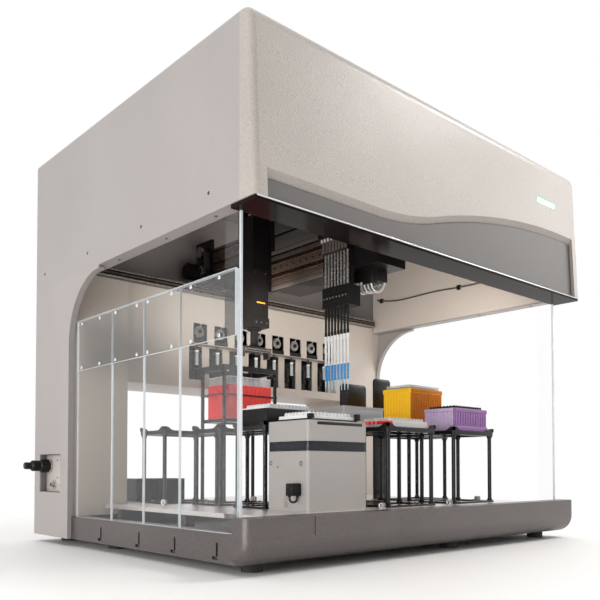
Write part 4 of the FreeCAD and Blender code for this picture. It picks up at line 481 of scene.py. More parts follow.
# Syringe pumps: a metal valve face, its knob and tube fittings, and a glass syringe with a white scale
PUMP_XS = [-149 + 61 * i for i in range(8)]
VALVE_Z, SYRINGE_Y = 489, 251
valves = Shape("valve")
for x in PUMP_XS:
    valves.use("valve")
    valves.turned("y", (x, VALVE_Z), [(13.6, 242), (13.8, 239.5), (12.6, 238.4), (8.2, 238.2), (7.6, 239.0),
            (5.4, 239.0), (5.0, 236.2), (3.2, 235.6), (0, 235.6)], 28)
    for turn in (0.5, 2.6, 4.7):
        valves.screw("y", (x + 10.4 * cos(turn), VALVE_Z + 10.4 * sin(turn)), 238.4, -1, 1.5, 0.8)
    valves.use("clear tube")
    arc = [(x + 11 - 9 * cos(a), 237, VALVE_Z + 12 + 9 * sin(a)) for a in angles(0.75 * pi, 9)]
    valves.tube(arc, 1.1, 8)
    valves.use("black plastic")
    valves.block((x - 17.6, x - 6), (252, 263.8), (392, 430), 1.0)
    valves.block((x + 6, x + 17.6), (256, 263.8), (372, 440), 1.0)
    valves.block((x - 20, x + 20), (234.6, 235), (460.3, 470.2), 0)
    valves.block((x - 20, x + 20), (235, 256.9), (460.05, 460.45), 0)
    valves.use("steel")
    valves.turned("z", (x, SYRINGE_Y), [(3.4, 446.4), (3.4, 455), (2.2, 456.5), (2.2, 460)], 6)
valves.finish("pump_valves", "root", "rail_metal")
glass = Shape("glass")
for x in PUMP_XS:
    glass.use("glass")
    glass.turned("z", (x, SYRINGE_Y), [(4.5, 410.2), (4.5, 445.8), (3.1, 445.8), (3.1, 410.2)], 24,
            closed=True)
    glass.use("ivory")
    for low, high in ((441.5, 445.9), (410.1, 412.6)):
        glass.turned("z", (x, SYRINGE_Y), [(4.4, low), (4.7, low + 0.1), (4.7, high - 0.1), (4.4, high)],
                20, closed=True)
glass.finish("syringe_glass", "root", "glass", "syringe_barrels")
for i, x in enumerate(PUMP_XS):
    rod = Shape("steel")
    rod.turned("z", (x, SYRINGE_Y), [(0, 443), (2.5, 443), (2.7, 442.6), (2.7, 439.4), (2.4, 439),
            (1.2, 438.8), (1.2, 409.6), (3.6, 409.4), (3.6, 406), (0, 406)], 20)
    rod.use("black plastic")
    rod.block((x - 7, x + 7), (245, 263.7), (401.7, 409.6), 0.8)
    rod.screw("y", (x, 405.4), 245, -1, 3.2, 0)
    rod.finish("plunger_rod_%d" % (i + 1), "syringe_%d" % (i + 1), "rail_metal", "plunger_%d" % (i + 1))

# Probes: bright rods, black mandrels, white sleeves, blue barrels and clear tips
PROBE_X = -92
PROBE_YS = [-202 + 9 * i for i in range(8)]
PROBE_PARTS = (
    ("rod grey", 20, ((0, 715), (1.9, 715), (2.5, 714.2), (2.5, 488.7))),
    ("black plastic", 24, ((2.0, 488.7), (3.0, 488.7), (3.0, 470), (2.3, 469.4), (2.3, 440), (2.8, 439.4),
        (2.8, 431))),
    ("ivory", 24, ((3.1, 431), (3.1, 422), (2.4, 421), (2.4, 376), (2.9, 375), (2.9, 371))),
    ("blue", 24, ((2.5, 371), (2.2, 345), (2.5, 344), (2.5, 341), (2.0, 339))),
    ("tip", 20, ((2.0, 339), (1.5, 330), (0.7, 317.6), (0.35, 317.6), (0.35, 320))),
)
for i, y in enumerate(PROBE_YS):
    probe = Shape("rod grey")
    for look, steps, outline in PROBE_PARTS:
        probe.use(look)
        probe.turned("z", (PROBE_X, y), outline, steps)
    probe.finish("probe_%d_body" % (i + 1), "probe_%d" % (i + 1), "black_plastic", "probe_rod_%d" % (i + 1))

# Fittings on the probe guides: a white tube through each hook, a set screw and a toothed face
HOOK_X, GUIDE_FACE = PROBE_X - 11.5, PROBE_X - 6
for i, y in enumerate(PROBE_YS):
    fitting = Shape("ivory")
    fitting.turned("z", (HOOK_X, y), [(2.2, 624), (2.2, 630), (3.4, 630.4), (3.6, 636), (3.0, 637),
            (3.8, 638), (3.8, 643), (2.6, 644.2), (2.4, 650), (0, 650)], 16)
    bend = [(HOOK_X + 8 * (1 - cos(a)), y, 650 + 10 * sin(a)) for a in angles(pi / 2, 8)]
    fitting.tube(bend + [(PROBE_X, y, 660)], 2.0)
    fitting.use("guide grey")
    fitting.block((GUIDE_FACE - 1.2, GUIDE_FACE + 0.1), (y - 3.3, y + 3.3), (602, 638), 0.5)
    fitting.screw("x", (y, 622), GUIDE_FACE, -1, 2.0, 1.0)
    fitting.screw("x", (y, 508), GUIDE_FACE, -1, 1.8, 0.8, "rail metal")
    fitting.use("black metal")
    for z in (492, 497, 518, 524):
        fitting.block((GUIDE_FACE - 0.8, GUIDE_FACE + 0.2), (y - 4.1, y + 4.1), (z, z + 2.2), 0.3)
    fitting.finish("guide_fitting_%d" % (i + 1), "slider_%d" % (i + 1) if i < 7 else "pod", "black_plastic")

# Gripper: light bar and screws on the mast, the jaw slide's cover and ridges on the pads
GRIPPER_X, MAST_FRONT, JAW_FRONT = -107.5, 57, 63.2
mast = Shape("orange light")
mast.block((-117.5, -94), (56.6, 58.0), (533.0, 535.6), 0.5)
for x in (-122, GRIPPER_X, -93):
    mast.screw("y", (x, 489), 53, -1, 2.4, 1.2)
for x in (-122, -93):
    mast.screw("y", (x, 602), MAST_FRONT, -1, 2.0, 1.0, "screw")
mast.use("black metal")
for x in (-126.5, -90.6):
    mast.block((x, x + 2), (56.2, 57.4), (545, 596), 0.5)
mast.finish("gripper_light_and_screws", "gripper_lift", "black_metal")
jaw = Shape("steel")
for x in (-142, -73):
    jaw.screw("y", (x, 430), JAW_FRONT, -1, 2.4, 1.2)
jaw.use("steel")
jaw.block((-145.9, -69.1), (JAW_FRONT, 95.8), (422.85, 434.3), 0.8)
jaw.use("black plastic")
jaw.block((-141.5, -73.5), (62.7, 63.4), (424.6, 427), 0.2)
jaw.turned("z", (GRIPPER_X, 79.5), [(11.5, 434), (11.5, 440), (10.2, 441.4), (9.0, 441.4)], 32, closed=True)
jaw.finish("jaw_slide", "gripper_turn", "grey_metal")
for body, x, sign in (("finger_left", -145.5, 1), ("finger_right", -69.5, -1)):
    pad = Shape("rubber")
    face = x + sign * 4
    for k in range(5):
        z = 412 + 2 * k
        pad.block(sorted((face, face + sign * 0.9)), (71.5, 87.5), (z, z + 1.3), 0.3)
    pad.finish("pad_" + body, body, "grey_metal")

# Bridge beam: screws, strips and round holes along it drawn as black discs of painted shade, and the belt under
# it
BEAM_FACE = -68
# The amber strips are painted glints.
BEAM_STRIPES = (("beam brown", 643, 650), ("black metal", 652, 658), ("amber", 659.5, 661),
        ("beam brown", 662.5, 676), ("black metal", 677.5, 683), ("amber", 684, 686),
        ("beam brown", 687.5, 704), ("amber", 705.5, 707.5), ("black metal", 708.5, 714),
        ("beam brown", 715, 719.5))


def stripes(shape, x, y, rows):
    """Flat strips one above the other, each given as (look, low, high)."""
    for look, low, high in rows:
        shape.use(look)
        shape.block(x, y, (low, high), 0.3)


beam = Shape("grey metal")
for k in range(12):
    y = -320 + 52 * k
    for z in (669, 698):
        beam.screw("x", (y, z), BEAM_FACE, -1, 2.6, 1.2, "screw")
    beam.screw("x", (y + 26, 652), -64, -1, 3.2, 1.6, "screw")
    beam.screw("x", (y + 26, 650), 12, 1, 3.2, 1.6, "screw")
stripes(beam, (BEAM_FACE - 1.2, BEAM_FACE - 0.02), (-368, 296), BEAM_STRIPES)
# Black discs for the holes: painted shade.
beam.use("black plastic")
for k in range(22):
    beam.turned("x", (-350 + 29 * k, 695.5), [(0, -69.35), (2.6, -69.35), (2.6, -69.1), (0, -69.1)], 12)
beam.use("beam brown")
beam.block((-60, 8), (-360, 360), (638.6, 639.9), 0.4)
# A painted amber glint under the belt.
beam.use("amber")
beam.block((-57, -53), (-360, 360), (637.9, 638.7), 0.3)
beam.use("black metal")
beam.block((12, 13.6), (-325, 345), (672, 690), 0.5)
beam.finish("beam_details", "bridge", "grey_metal")
MOTOR_Y, MOTOR_Z, MOTOR_END = 346, 664, -118
drive = Shape("steel")
for place in ((315, 660), (320, 710)):
    drive.turned("x", place, [(5, -97.6), (12, -97.6), (13.9, -96.6), (13.9, -94.5), (12.8, -94.4),
            (12.8, -76), (13.9, -75.9), (13.9, -73)], 28)
drive.use("rubber")
for y in (301.8, 329.3):
    drive.block((-94, -76.5), (y, y + 1.8), (661, 709), 0.5)
drive.use("black plastic")
drive.turned("x", (MOTOR_Y, MOTOR_Z), [(0, MOTOR_END), (19, MOTOR_END), (20.8, -116.5), (20.8, -112),
        (19.6, -111), (19.6, -74), (20.8, -73)], 32)
for turn in (pi / 4, 3 * pi / 4, 5 * pi / 4, 7 * pi / 4):
    drive.screw("x", (MOTOR_Y + 14 * cos(turn), MOTOR_Z + 14 * sin(turn)), MOTOR_END, -1, 1.8, 0.0)
drive.finish("drive_details", "bridge", "black_metal")

# X rails: dark bodies with ground strips along them
RAILS = ((-440, 440, 205, 228, 572, 590, -1), (-455, 455, -372, -352, 640, 660, 1))
RAIL_LAYERS = ("rail metal", "black metal", "beam brown", "black metal", "rail metal")
rails = Shape("grey metal")
for left, right, front, rear, low, high, out in RAILS:
    face = front if out < 0 else rear
    step = (high - low) / len(RAIL_LAYERS)
    rails.use("grey metal")
    rails.block((left, right), within((front, rear), 2), within((low, high), 0.4), 0.5)
    for k, look in enumerate(RAIL_LAYERS):
        rails.use(look)
        depth = 0 if look == "rail metal" else 0.9
        rails.block((left, right), sorted((face - out * depth, face - out * 2.4)),
                within((low + step * k, low + step * (k + 1)), 0.2), 0.3)
rails.finish("rail_strips", "root", "rail_metal", "x_rails")

# Pod: screws, plates and strips on the left faces of its carriage and housing
POD_FACE, POD_Y = -78, (-118, 52)
POD_SCREW_Y = (-122, -60, -10, 40)
# The amber strips are painted glints.
POD_STRIPES = (("guide grey", 564, 574), ("beam brown", 575, 590), ("amber", 590.8, 592.4),
        ("gloss black", 593, 601), ("amber", 601.8, 603), ("beam brown", 603.8, 621),
        ("amber", 621.6, 623.4), ("gloss black", 624, 631), ("beam brown", 631.6, 641),
        ("gloss black", 641.6, 645), ("guide grey", 645.6, 654))
pod = Shape("screw")
for y in (-262, -236) + POD_SCREW_Y:
    pod.screw("x", (y, 726), POD_FACE, -1, 2.6, 1.2, "screw")
for y in POD_SCREW_Y:
    pod.screw("x", (y, 572), POD_FACE, -1, 2.6, 1.2, "screw")
pod.use("grey metal")
pod.block((POD_FACE - 3, POD_FACE), (-118, 40), (690, 720), 0.8)
pod.block((POD_FACE - 2, POD_FACE), (-118, 40), (655, 684), 0.6)
for y in (-250, -150, -50, 30):
    pod.screw("z", (-30, y), 563, -1, 2.6, 1.2, "screw")
stripes(pod, (POD_FACE - 1.6, POD_FACE - 0.05), POD_Y, POD_STRIPES)
pod.use("black plastic")
for k in range(8):
    pod.turned("x", (-108 + 21 * k, 612), [(0, -79.9), (2.6, -79.9), (2.6, -79.5), (0, -79.5)], 12)
pod.use("gloss black")
pod.block((POD_FACE - 2.6, POD_FACE - 0.05), POD_Y, (724, 780), 0.8)
pod.finish("pod_details", "pod", "black_metal")

# Connector under the pod: five pairs of sleeves, joined by loops of tube and lead
CONNECTOR_X, CONNECTOR_LOW = -29, 541
connector = Shape("black plastic")
connector.block((-52, -6), (-232, -176), (CONNECTOR_LOW, 563), 1.2)
connector.use("black metal")
connector.block((-54, -40), (-234, -206), (534, 566), 1.0)
for k in range(5):
    y, reach = -226 + 10 * k, 20 - 0.8 * k
    connector.use("ivory")
    for x in (CONNECTOR_X - reach, CONNECTOR_X + reach):
        connector.turned("z", (x, y), [(2.7, 542), (2.7, 539), (2.3, 538.4), (2.3, 536.5), (1.9, 536.5)], 14)
    for look, across, ahead, bulge, drop, radius, steps in (
            ("clear tube" if k % 2 else "ivory", reach, 0, 3, reach + 1.2, 1.7, 10),
            ("cable", reach - 4, 4, 2, reach - 5, 0.8, 8)):
        connector.use(look)
        connector.tube([(CONNECTOR_X - across * cos(a), y + ahead + bulge * sin(a),
                CONNECTOR_LOW - drop * sin(a)) for a in angles(pi, 24)], radius, steps)
connector.finish("tubing_connector", "pod", "black_plastic", "pod_tubing")

# Labware on the frames
FRAME_TOP = 242
HALF_LONG, HALF_WIDE = 127.8 / 2, 85.5 / 2
GRID = [((i - 5.5) * 9, (j - 3.5) * 9) for i in range(12) for j in range(8)]


def rounded(x, y, radius, steps=6):
    """A rectangle's outline with round corners."""
    outline = []
    for k, (cx, cy) in enumerate(((x[1] - radius, y[1] - radius), (x[0] + radius, y[1] - radius),
            (x[0] + radius, y[0] + radius), (x[1] - radius, y[0] + radius))):
        for i in range(steps + 1):
            turn = pi / 2 * (k + i / steps)
            outline.append((cx + radius * cos(turn), cy + radius * sin(turn)))
    return outline


def ring(shape, outer, inner, low, high):
    """An upright wall between two outlines with as many points."""
    part = bmesh.new()
    loops = [[part.verts.new((x, y, z)) for x, y in outline]
            for outline, z in ((outer, low), (outer, high), (inner, high), (inner, low))]
    count = len(outer)
    for one, two in zip(loops, loops[1:] + loops[:1]):
        for i in range(count):
            j = (i + 1) % count
            part.faces.new((one[i], one[j], two[j], two[i]))
    shape.add(part)


def rim(shape, x, y, radius, wall_x, wall_y, inner_radius, low, high):
    """An upright wall between a rounded rectangle and a smaller one."""
    ring(shape, rounded(x, y, radius), rounded(within(x, wall_x), within(y, wall_y), inner_radius), low, high)


def footprint(place, inset=0.0):
    """Labware's X and Y spans around a place."""
    return (within((place[0] - HALF_LONG, place[0] + HALF_LONG), inset),
            within((place[1] - HALF_WIDE, place[1] + HALF_WIDE), inset))


def layer(shape, place, inset, radius, low, high, edge):
    """A rounded slab with labware's footprint, between two heights above the frames."""
    shape.prism("z", rounded(*footprint(place, inset), radius), FRAME_TOP + low, FRAME_TOP + high, edge)


def in_grid(shape, place, outline, steps=12):
    """The same turned body at every place of the standard grid."""
    for u, v in GRID:
        shape.turned("z", (place[0] + u, place[1] + v), outline, steps)


PURPLE_AT = (227, -230.5)
PURPLE_LOW, PURPLE_HIGH, PURPLE_TOP = FRAME_TOP + 11, FRAME_TOP + 42, FRAME_TOP + 50
purple = Shape("purple")
px, py = footprint(PURPLE_AT)
layer(purple, PURPLE_AT, 0, 4, 0, 11, 0.5)
layer(purple, PURPLE_AT, 2.2, 3, 11, 42, 0.4)
layer(purple, PURPLE_AT, 0.6, 4, 42, 50, 0.6)
for k in range(13):
    x = PURPLE_AT[0] + (k - 6) * 9.4
    purple.block((x - 0.9, x + 0.9), (py[0] + 1.0, py[0] + 2.4), (PURPLE_LOW, PURPLE_HIGH), 0.4)
# The left faces and their ribs take the lighter purple: painted light from the left.
purple.use("lilac")
purple.block((px[0] + 1.8, px[0] + 2.3), within(py, 5), (PURPLE_LOW - 0.5, PURPLE_HIGH), 0)
purple.block((px[0] - 0.2, px[0] + 0.4), within(py, 4), (FRAME_TOP + 0.4, PURPLE_LOW - 0.4), 0.2)
purple.block((px[0] + 0.3, px[0] + 0.8), within(py, 4), (PURPLE_HIGH + 0.4, PURPLE_TOP - 0.4), 0.2)
for k in range(9):
    y = PURPLE_AT[1] + (k - 4) * 9.2
    purple.block((px[0] + 1.0, px[0] + 2.4), (y - 0.9, y + 0.9), (PURPLE_LOW, PURPLE_HIGH), 0.4)
purple.use("black plastic")
in_grid(purple, PURPLE_AT, [(2.4, PURPLE_TOP), (2.4, PURPLE_TOP + 5.5), (2.1, PURPLE_TOP + 6),
        (1.7, PURPLE_TOP + 6), (1.6, PURPLE_TOP + 1)])
purple.finish("tip_rack_low", "root", "purple_plastic", "tip_box_low")

YELLOW_AT = (254, -86)
YELLOW_TOP = FRAME_TOP + 107
YELLOW_WALL = (FRAME_TOP + 9, YELLOW_TOP - 9)
# Its yellow glows a little: painted light.
yellow = Shape("yellow")
yx, yy = footprint(YELLOW_AT)
layer(yellow, YELLOW_AT, 1.6, 4, 0, 106, 0.4)
layer(yellow, YELLOW_AT, 0, 5, 0, 10, 0.8)
layer(yellow, YELLOW_AT, 0, 5, 97, 107, 0.8)
# The front face and its ribs take the darker yellow: painted shade; the back and the ends take yellow.
for k in range(13):
    x = YELLOW_AT[0] + (k - 6) * 9
    for look, span in zip(("orange", "yellow"), ends(yy, 1.6)):
        yellow.use(look)
        yellow.block((x - 1.6, x + 1.6), span, YELLOW_WALL, 0.6)
yellow.use("orange")
yellow.block(within(yx, 5), (yy[0] + 1.2, yy[0] + 1.7), YELLOW_WALL, 0)
for z in ((FRAME_TOP + 0.4, FRAME_TOP + 9.4), (YELLOW_TOP - 9.4, YELLOW_TOP - 0.6)):
    yellow.block(within(yx, 5), (yy[0] - 0.2, yy[0] + 0.4), z, 0.2)
yellow.use("yellow")
for k in range(8):
    y = YELLOW_AT[1] + (k - 3.5) * 9
    for span in ends(yx, 1.6):
        yellow.block(span, (y - 1.6, y + 1.6), YELLOW_WALL, 0.6)
yellow.use("black plastic")
in_grid(yellow, YELLOW_AT, [(3.0, YELLOW_TOP), (3.0, YELLOW_TOP + 5), (1.6, YELLOW_TOP + 5)], 10)
yellow.use("clear box")
rim(yellow, *footprint(YELLOW_AT, 6), 4, 1.2, 1.2, 3, YELLOW_TOP, YELLOW_TOP + 8)
yellow.prism("z", rounded(*footprint(YELLOW_AT, 6), 4), YELLOW_TOP + 8, YELLOW_TOP + 9)
yellow.finish("tip_rack_tall", "root", "yellow_plastic", "tip_box_tall")

# Labware frames, reservoir stand and shields
FRAME_PLACES = ((13, -230.5), (227, -230.5), (-195, -108), (13, -108), (254, -86), (-195, 36), (-240, 176))
FRAME_HALF_X, FRAME_HALF_Y, FRAME_LOW = 75, 50, FRAME_TOP - 9
LUG = ((0, 0), (0, 8), (9, 8), (13, 6.4), (17, 3), (22, 0.8), (27, 0))


def post(shape, place, low, high):
    """A round post with a foot and a head."""
    shape.turned("z", place, [(0, low), (6.0, low), (6.0, low + 3), (4.3, low + 4.5), (4.3, high - 5),
            (6.0, high - 3.5), (6.0, high), (0, high)], 16)


frames = Shape("gloss black")
for cx, cy in FRAME_PLACES:
    x, y = (cx - FRAME_HALF_X, cx + FRAME_HALF_X), (cy - FRAME_HALF_Y, cy + FRAME_HALF_Y)
    rim(frames, x, y, 5, 14, 11, 4, FRAME_LOW, FRAME_TOP)
    rim(frames, x, y, 3, 12, 12, 3, DECK_TOP + 0.1, FOOT_TOP)
    for corner_x, in_x in ((x[0], 1), (x[1], -1)):
        for corner_y, in_y in ((y[0], 1), (y[1], -1)):
            post(frames, (corner_x + in_x * 7, corner_y + in_y * 7), FOOT_TOP, FRAME_LOW)
            frames.prism("x", [(corner_y + in_y * u, FRAME_TOP + v) for u, v in LUG],
                    *sorted((corner_x, corner_x + in_x * 5)))
            frames.prism("y", [(corner_x + in_x * u, FRAME_TOP + v) for u, v in LUG],
                    *sorted((corner_y, corner_y + in_y * 4)))
    for place in ((cx - 69, cy), (cx + 69, cy)):
        frames.screw("z", place, FOOT_TOP, 1, 3.0, 1.6)
    frames.use("gloss black")
STAND_X, STAND_Y, STAND_TOP = (-160, 3), (125, 223), 398
rim(frames, STAND_X, STAND_Y, 4, 10, 5, 3, STAND_TOP - 12, STAND_TOP)
rim(frames, within(STAND_X, 10), within(STAND_Y, 1), 4, 12, 19, 3, 267, 274.8)
rim(frames, within(STAND_X, 1), within(STAND_Y, 1), 4, 3, 3, 3, 329, 332)
for x in within(STAND_X, 6):
    for y in within(STAND_Y, 6):
        post(frames, (x, y), DECK_TOP, STAND_TOP - 12)
SHIELD_RADIUS = 9
corner = [(SHIELD_RADIUS * (cos(a) - 1), SHIELD_RADIUS * (sin(a) - 1)) for a in angles(pi / 2, 8)]
for left, right, top in ((93, 180, 363), (209, 270, 384)):
    outline = [(left, DECK_TOP), (right, DECK_TOP)] + [(right + u, top + v) for u, v in corner]
    frames.prism("y", outline + [(left - v, top + u) for u, v in corner], 0, 5, 0.5)
frames.finish("frames_and_shields", "root", "black_metal", "positioners")

# White labware: a capped tube rack, a capped plate on the shaker, a deep plate, and a clear plate
# with a red end
RACK_AT, SHAKEN_AT, DEEP_AT, CLEAR_AT = (-195, -108), (-195, -222.5), (13, -108), (13, -230.5)


def caps(shape, place, low, radius, height):
    """Rounded tube caps in the standard grid."""
    in_grid(shape, place, [(radius, low), (radius, low + height * 0.55),
            (radius * 0.8, low + height * 0.85), (radius * 0.35, low + height), (0, low + height)])


def wells(shape, place, low, radius, height, floor):
    """Round wells with raised rims in the standard grid."""
    in_grid(shape, place, [(radius, low), (radius, low + height), (radius - 0.6, low + height),
            (radius - 0.8, low + floor), (0, low + floor)])


plates = Shape("black plastic")
layer(plates, RACK_AT, 0, 3, 0, 33, 0.6)
layer(plates, SHAKEN_AT, 0, 3, 4, 8, 0.4)
plates.block((-258.8, -250), (-273, -262), (250, 258), 1.0)
plates.block((-139, -131.2), (-273, -262), (250, 262), 1.0)
plates.use("ivory")
layer(plates, RACK_AT, 3, 3, 33, 36, 0.5)
caps(plates, RACK_AT, FRAME_TOP + 36, 4.1, 7)
layer(plates, SHAKEN_AT, 2, 3, 8, 14, 0.6)
caps(plates, SHAKEN_AT, FRAME_TOP + 14, 4.0, 7.4)
plates.use("deep grey")
layer(plates, DEEP_AT, 0, 3, 0, 10, 0.6)
layer(plates, DEEP_AT, 1.6, 4, 10, 48, 0.6)
rim(plates, *footprint(DEEP_AT, 0.8), 4, 2.4, 2.4, 3, FRAME_TOP + 44, FRAME_TOP + 50)
wells(plates, DEEP_AT, FRAME_TOP + 48, 4.0, 1.6, 0.4)
plates.use("clear plate")
layer(plates, CLEAR_AT, 0, 3, 0, 6, 0.6)
layer(plates, CLEAR_AT, 2, 4, 6, 14, 0.6)
wells(plates, CLEAR_AT, FRAME_TOP + 14, 4.1, 5.2, 0.6)
# The red end glows a little: painted light.
plates.use("red")
plates.block((-50.6, -38), (-272.6, -240), (FRAME_TOP + 6, FRAME_TOP + 12.5), 1.0)
for k in range(4):
    plates.block((-50.9, -48), (-236 + 11 * k, -229 + 11 * k), (FRAME_TOP + 6, FRAME_TOP + 12), 0.8)
plates.finish("white_labware", "root", "white_plastic", "white_plates")

# Reservoir: a fluted clear tub with red liquid in it; the red's slight glow is painted light
TUB_X, TUB_Y = (-141, -13.2), (131.25, 216.75)
LIQUID_TOP = 354
FLUTES = (10, 7)


def fluted(x, y, depth):
    """A rectangle whose sides swing in and out in soft flutes."""
    outline = []
    corners = ((x[0], y[0]), (x[1], y[0]), (x[1], y[1]), (x[0], y[1]))
    for k, count in enumerate(FLUTES * 2):
        (x0, y0), (x1, y1) = corners[k], corners[(k + 1) % 4]
        length = hypot(x1 - x0, y1 - y0)
        inward = (-(y1 - y0) / length, (x1 - x0) / length)
        steps = count * 6
        for i in range(steps):
            t = (i + 0.5) / steps
            dip = depth * (1 - abs(sin(pi * t * count)))
            outline.append((x0 + (x1 - x0) * t + inward[0] * dip, y0 + (y1 - y0) * t + inward[1] * dip))
    return outline


tub = Shape("red")
tub.prism("z", fluted(TUB_X, TUB_Y, 2.6), 275, LIQUID_TOP)
tub.use("clear box")
ring(tub, fluted(TUB_X, TUB_Y, 2.6), fluted(within(TUB_X, 2), within(TUB_Y, 2), 2.2), LIQUID_TOP + 0.3, 372)
# The tub's rim glows too: a painted highlight.
tub.use("clear edge")
ring(tub, rounded(TUB_X, TUB_Y, 5, 5), rounded(within(TUB_X, 3), within(TUB_Y, 3), 3, 5), 372, 374)
tub.finish("reservoir_tub", "root", "red_plastic", "reservoir")

# Shaker: a dark band, recessed screws, sockets, feet and a socket strip in the cap's slot
SHAKER_X, SHAKER_Y, SHAKER_FACE = (-270, -120), (-280, -165), -269.2
shaker = Shape("shaker band")
rim(shaker, within(SHAKER_X, 0.6), within(SHAKER_Y, 0.6), 8, 3.4, 3.4, 6, 191.4, 208.6)
for x in (-263, -127):
    shaker.turned("z", (x, -273), [(0, DECK_TOP + 0.2), (6, DECK_TOP + 0.2), (6, FOOT_TOP), (0, FOOT_TOP)],
            20)
shaker.use("black plastic")
shaker.block((-262, -134), (-279.6, -275), (233.5, 243.2), 0.6)
for y, z in ((-176, 170), (-259, 169)):
    shaker.turned("x", (y, z), [(0, -269.4), (3.6, -269.4), (4.2, -270), (2.6, -270), (2.6, -269.6)], 20)
for z in (108, 96):
    shaker.turned("x", (-219, z), [(4.6, -269), (4.6, -270), (3.4, -270), (2.6, SHAKER_FACE),
            (0, SHAKER_FACE)], 20)
shaker.screw("x", (-196, 163), SHAKER_FACE, -1, 2.0, 0.8)
shaker.finish("shaker_details", "root", "light_paint")

# Cords: the shaker's short lead, and the clipped cable along the right inner panel


def cord_line(name, points, radius, look):
    """A smooth round cord along control points in metres."""
    curve = bpy.data.curves.new(name, "CURVE")
    curve.dimensions = "3D"
    curve.bevel_depth = 1.0
    curve.bevel_resolution = 4
    curve.resolution_u = 10
    curve.use_fill_caps = True
    line = curve.splines.new("NURBS")
    line.points.add(len(points) - 1)
    for control, place in zip(line.points, points):
        control.co = tuple(place) + (1,)
        control.radius = radius
    line.order_u = 3
    line.use_endpoint_u = True
    curve.materials.append(LOOKS[look])
    cord = put(name, curve)
    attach(cord, "root")
    return cord


LEAD_ENDS, LEAD_Y, LEAD_LOW, LEAD_HIGH = (-0.290, -0.272), -0.25125, 0.1005, 0.1105
lead_places = zip(sorted(LEAD_ENDS * 2), (LEAD_HIGH, LEAD_LOW, LEAD_LOW, LEAD_HIGH))
lead = cord_line("shaker_lead_loop", [(x, LEAD_Y, z) for x, z in lead_places], 0.0019, "cable")
plug = Shape("black plastic")
plug.block((-291.8, -270.1), (-260.1, -242.4), (112, 134), 1.6)
for z in (116, 120, 124, 128):
    plug.block((-292, -289), (-258.5, -244), (z, z + 1.6), 0.4)
for x in LEAD_ENDS:
    plug.turned("z", (x / MM, LEAD_Y / MM), [(0, 110), (2.8, 110), (3.2, 113), (0, 113)], 14)
plug_piece = plug.finish("shaker_plug", "root", "black_plastic", "shaker_lead")
CABLE_X = 0.4527
CABLE_ROUTE = ((205, 654), (165, 643), (110, 639), (52, 641), (-10, 642), (-73, 638), (-132, 637),
        (-190, 641), (-238, 652))
cable = cord_line("clipped_lead", [(CABLE_X, y * MM, z * MM) for y, z in CABLE_ROUTE], 0.002, "cable grey")
clips = Shape("black plastic")
for y, z in ((189, 648.5), (-81, 637.7)):
    clips.block((449, 450.2), (y - 5, y + 5), (z - 5, z + 5), 0.4)
    for low, high in ((z - 6, z - 2.6), (z + 2.6, z + 6)):
        clips.block((449.4, 455), (y - 5, y + 5), (low, high), 0.5)
clip_piece = clips.finish("lead_clips", "root", "black_plastic")
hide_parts("clipped_cable")

# Connector recess in the left column: a pale cup with its sockets and a black round plug
CUP_FLOOR, CUP_Y, CUP_Z = -465.5, (262, 369), (109, 191)
CUP_WALL, CUP_RIM = 4, 1.2
SOCKET_FLOOR = CUP_FLOOR - 4
PLUG_Y, PLUG_Z = 352, 166
outer_y, outer_z = within(CUP_Y, -CUP_WALL), within(CUP_Z, -CUP_WALL)
cup = Shape("recess paint")
cup.block((CUP_FLOOR, CUP_FLOOR + 2), outer_y, outer_z, 0.3)
for y in ends(outer_y, CUP_WALL):
    cup.block((-479, CUP_FLOOR), y, outer_z, 0.3)
for z in ends(outer_z, CUP_WALL):
    cup.block((-479, CUP_FLOOR), CUP_Y, z, 0.3)
cup.use("rim paint")
for y in ends(CUP_Y, CUP_RIM):
    cup.block((-479.4, -468), y, CUP_Z, 0.3)
for z in ends(CUP_Z, CUP_RIM):
    cup.block((-479.4, -468), within(CUP_Y, CUP_RIM), z, 0.3)
for y in (329.5, 278.5):
    cup.use("rail metal")
    cup.turned("x", (y, 125), [(0, CUP_FLOOR), (9.5, CUP_FLOOR), (9.5, CUP_FLOOR - 1.5),
            (6.4, CUP_FLOOR - 2.2), (6.4, CUP_FLOOR - 3.6), (5, CUP_FLOOR - 3.8), (5, CUP_FLOOR - 9),
            (3.6, CUP_FLOOR - 9), (3.4, SOCKET_FLOOR), (0, SOCKET_FLOOR)])
    cup.use("black plastic")
    cup.turned("x", (y, 125), [(0, SOCKET_FLOOR), (2.2, SOCKET_FLOOR), (2.2, CUP_FLOOR - 8),
            (0, CUP_FLOOR - 8)], 12)
oval = [(272 + 8.5 * cos(a), PLUG_Z + (8 if sin(a) >= 0 else -8) + 8.5 * sin(a))
        for a in (pi * (k + 0.5) / 14 for k in range(28))]
cup.prism("x", oval, CUP_FLOOR - 5, CUP_FLOOR, 0.6)
for y in (300, 315):
    for z in (140, 178):
        cup.screw("x", (y, z), CUP_FLOOR, -1, 2.0, 0.8, "screw")
cup.use("rail metal")
cup.turned("x", (PLUG_Y, PLUG_Z), [(0, CUP_FLOOR), (14.9, CUP_FLOOR), (14.9, CUP_FLOOR - 4),
        (13, CUP_FLOOR - 5), (0, CUP_FLOOR - 5)], 32)
cup.use("black plastic")
cup.turned("x", (PLUG_Y, PLUG_Z), [(0, -470), (12, -470), (13.5, -471.5), (13.5, -488), (12, -490),
        (11, -491), (11.8, -493), (11.8, -506), (10, -508.5), (7.6, -510), (7.6, -521), (6.4, -523.4),
        (0, -523.4)], 32)
for turn in angles(TURN, 12)[:-1]:
    y, z = PLUG_Y + 13 * cos(turn), PLUG_Z + 13 * sin(turn)
    cup.block((-487, -473), (y - 1.2, y + 1.2), (z - 1.2, z + 1.2), 0.4)
cup.finish("connector_cup", "root", "black_plastic", "connector_panel")

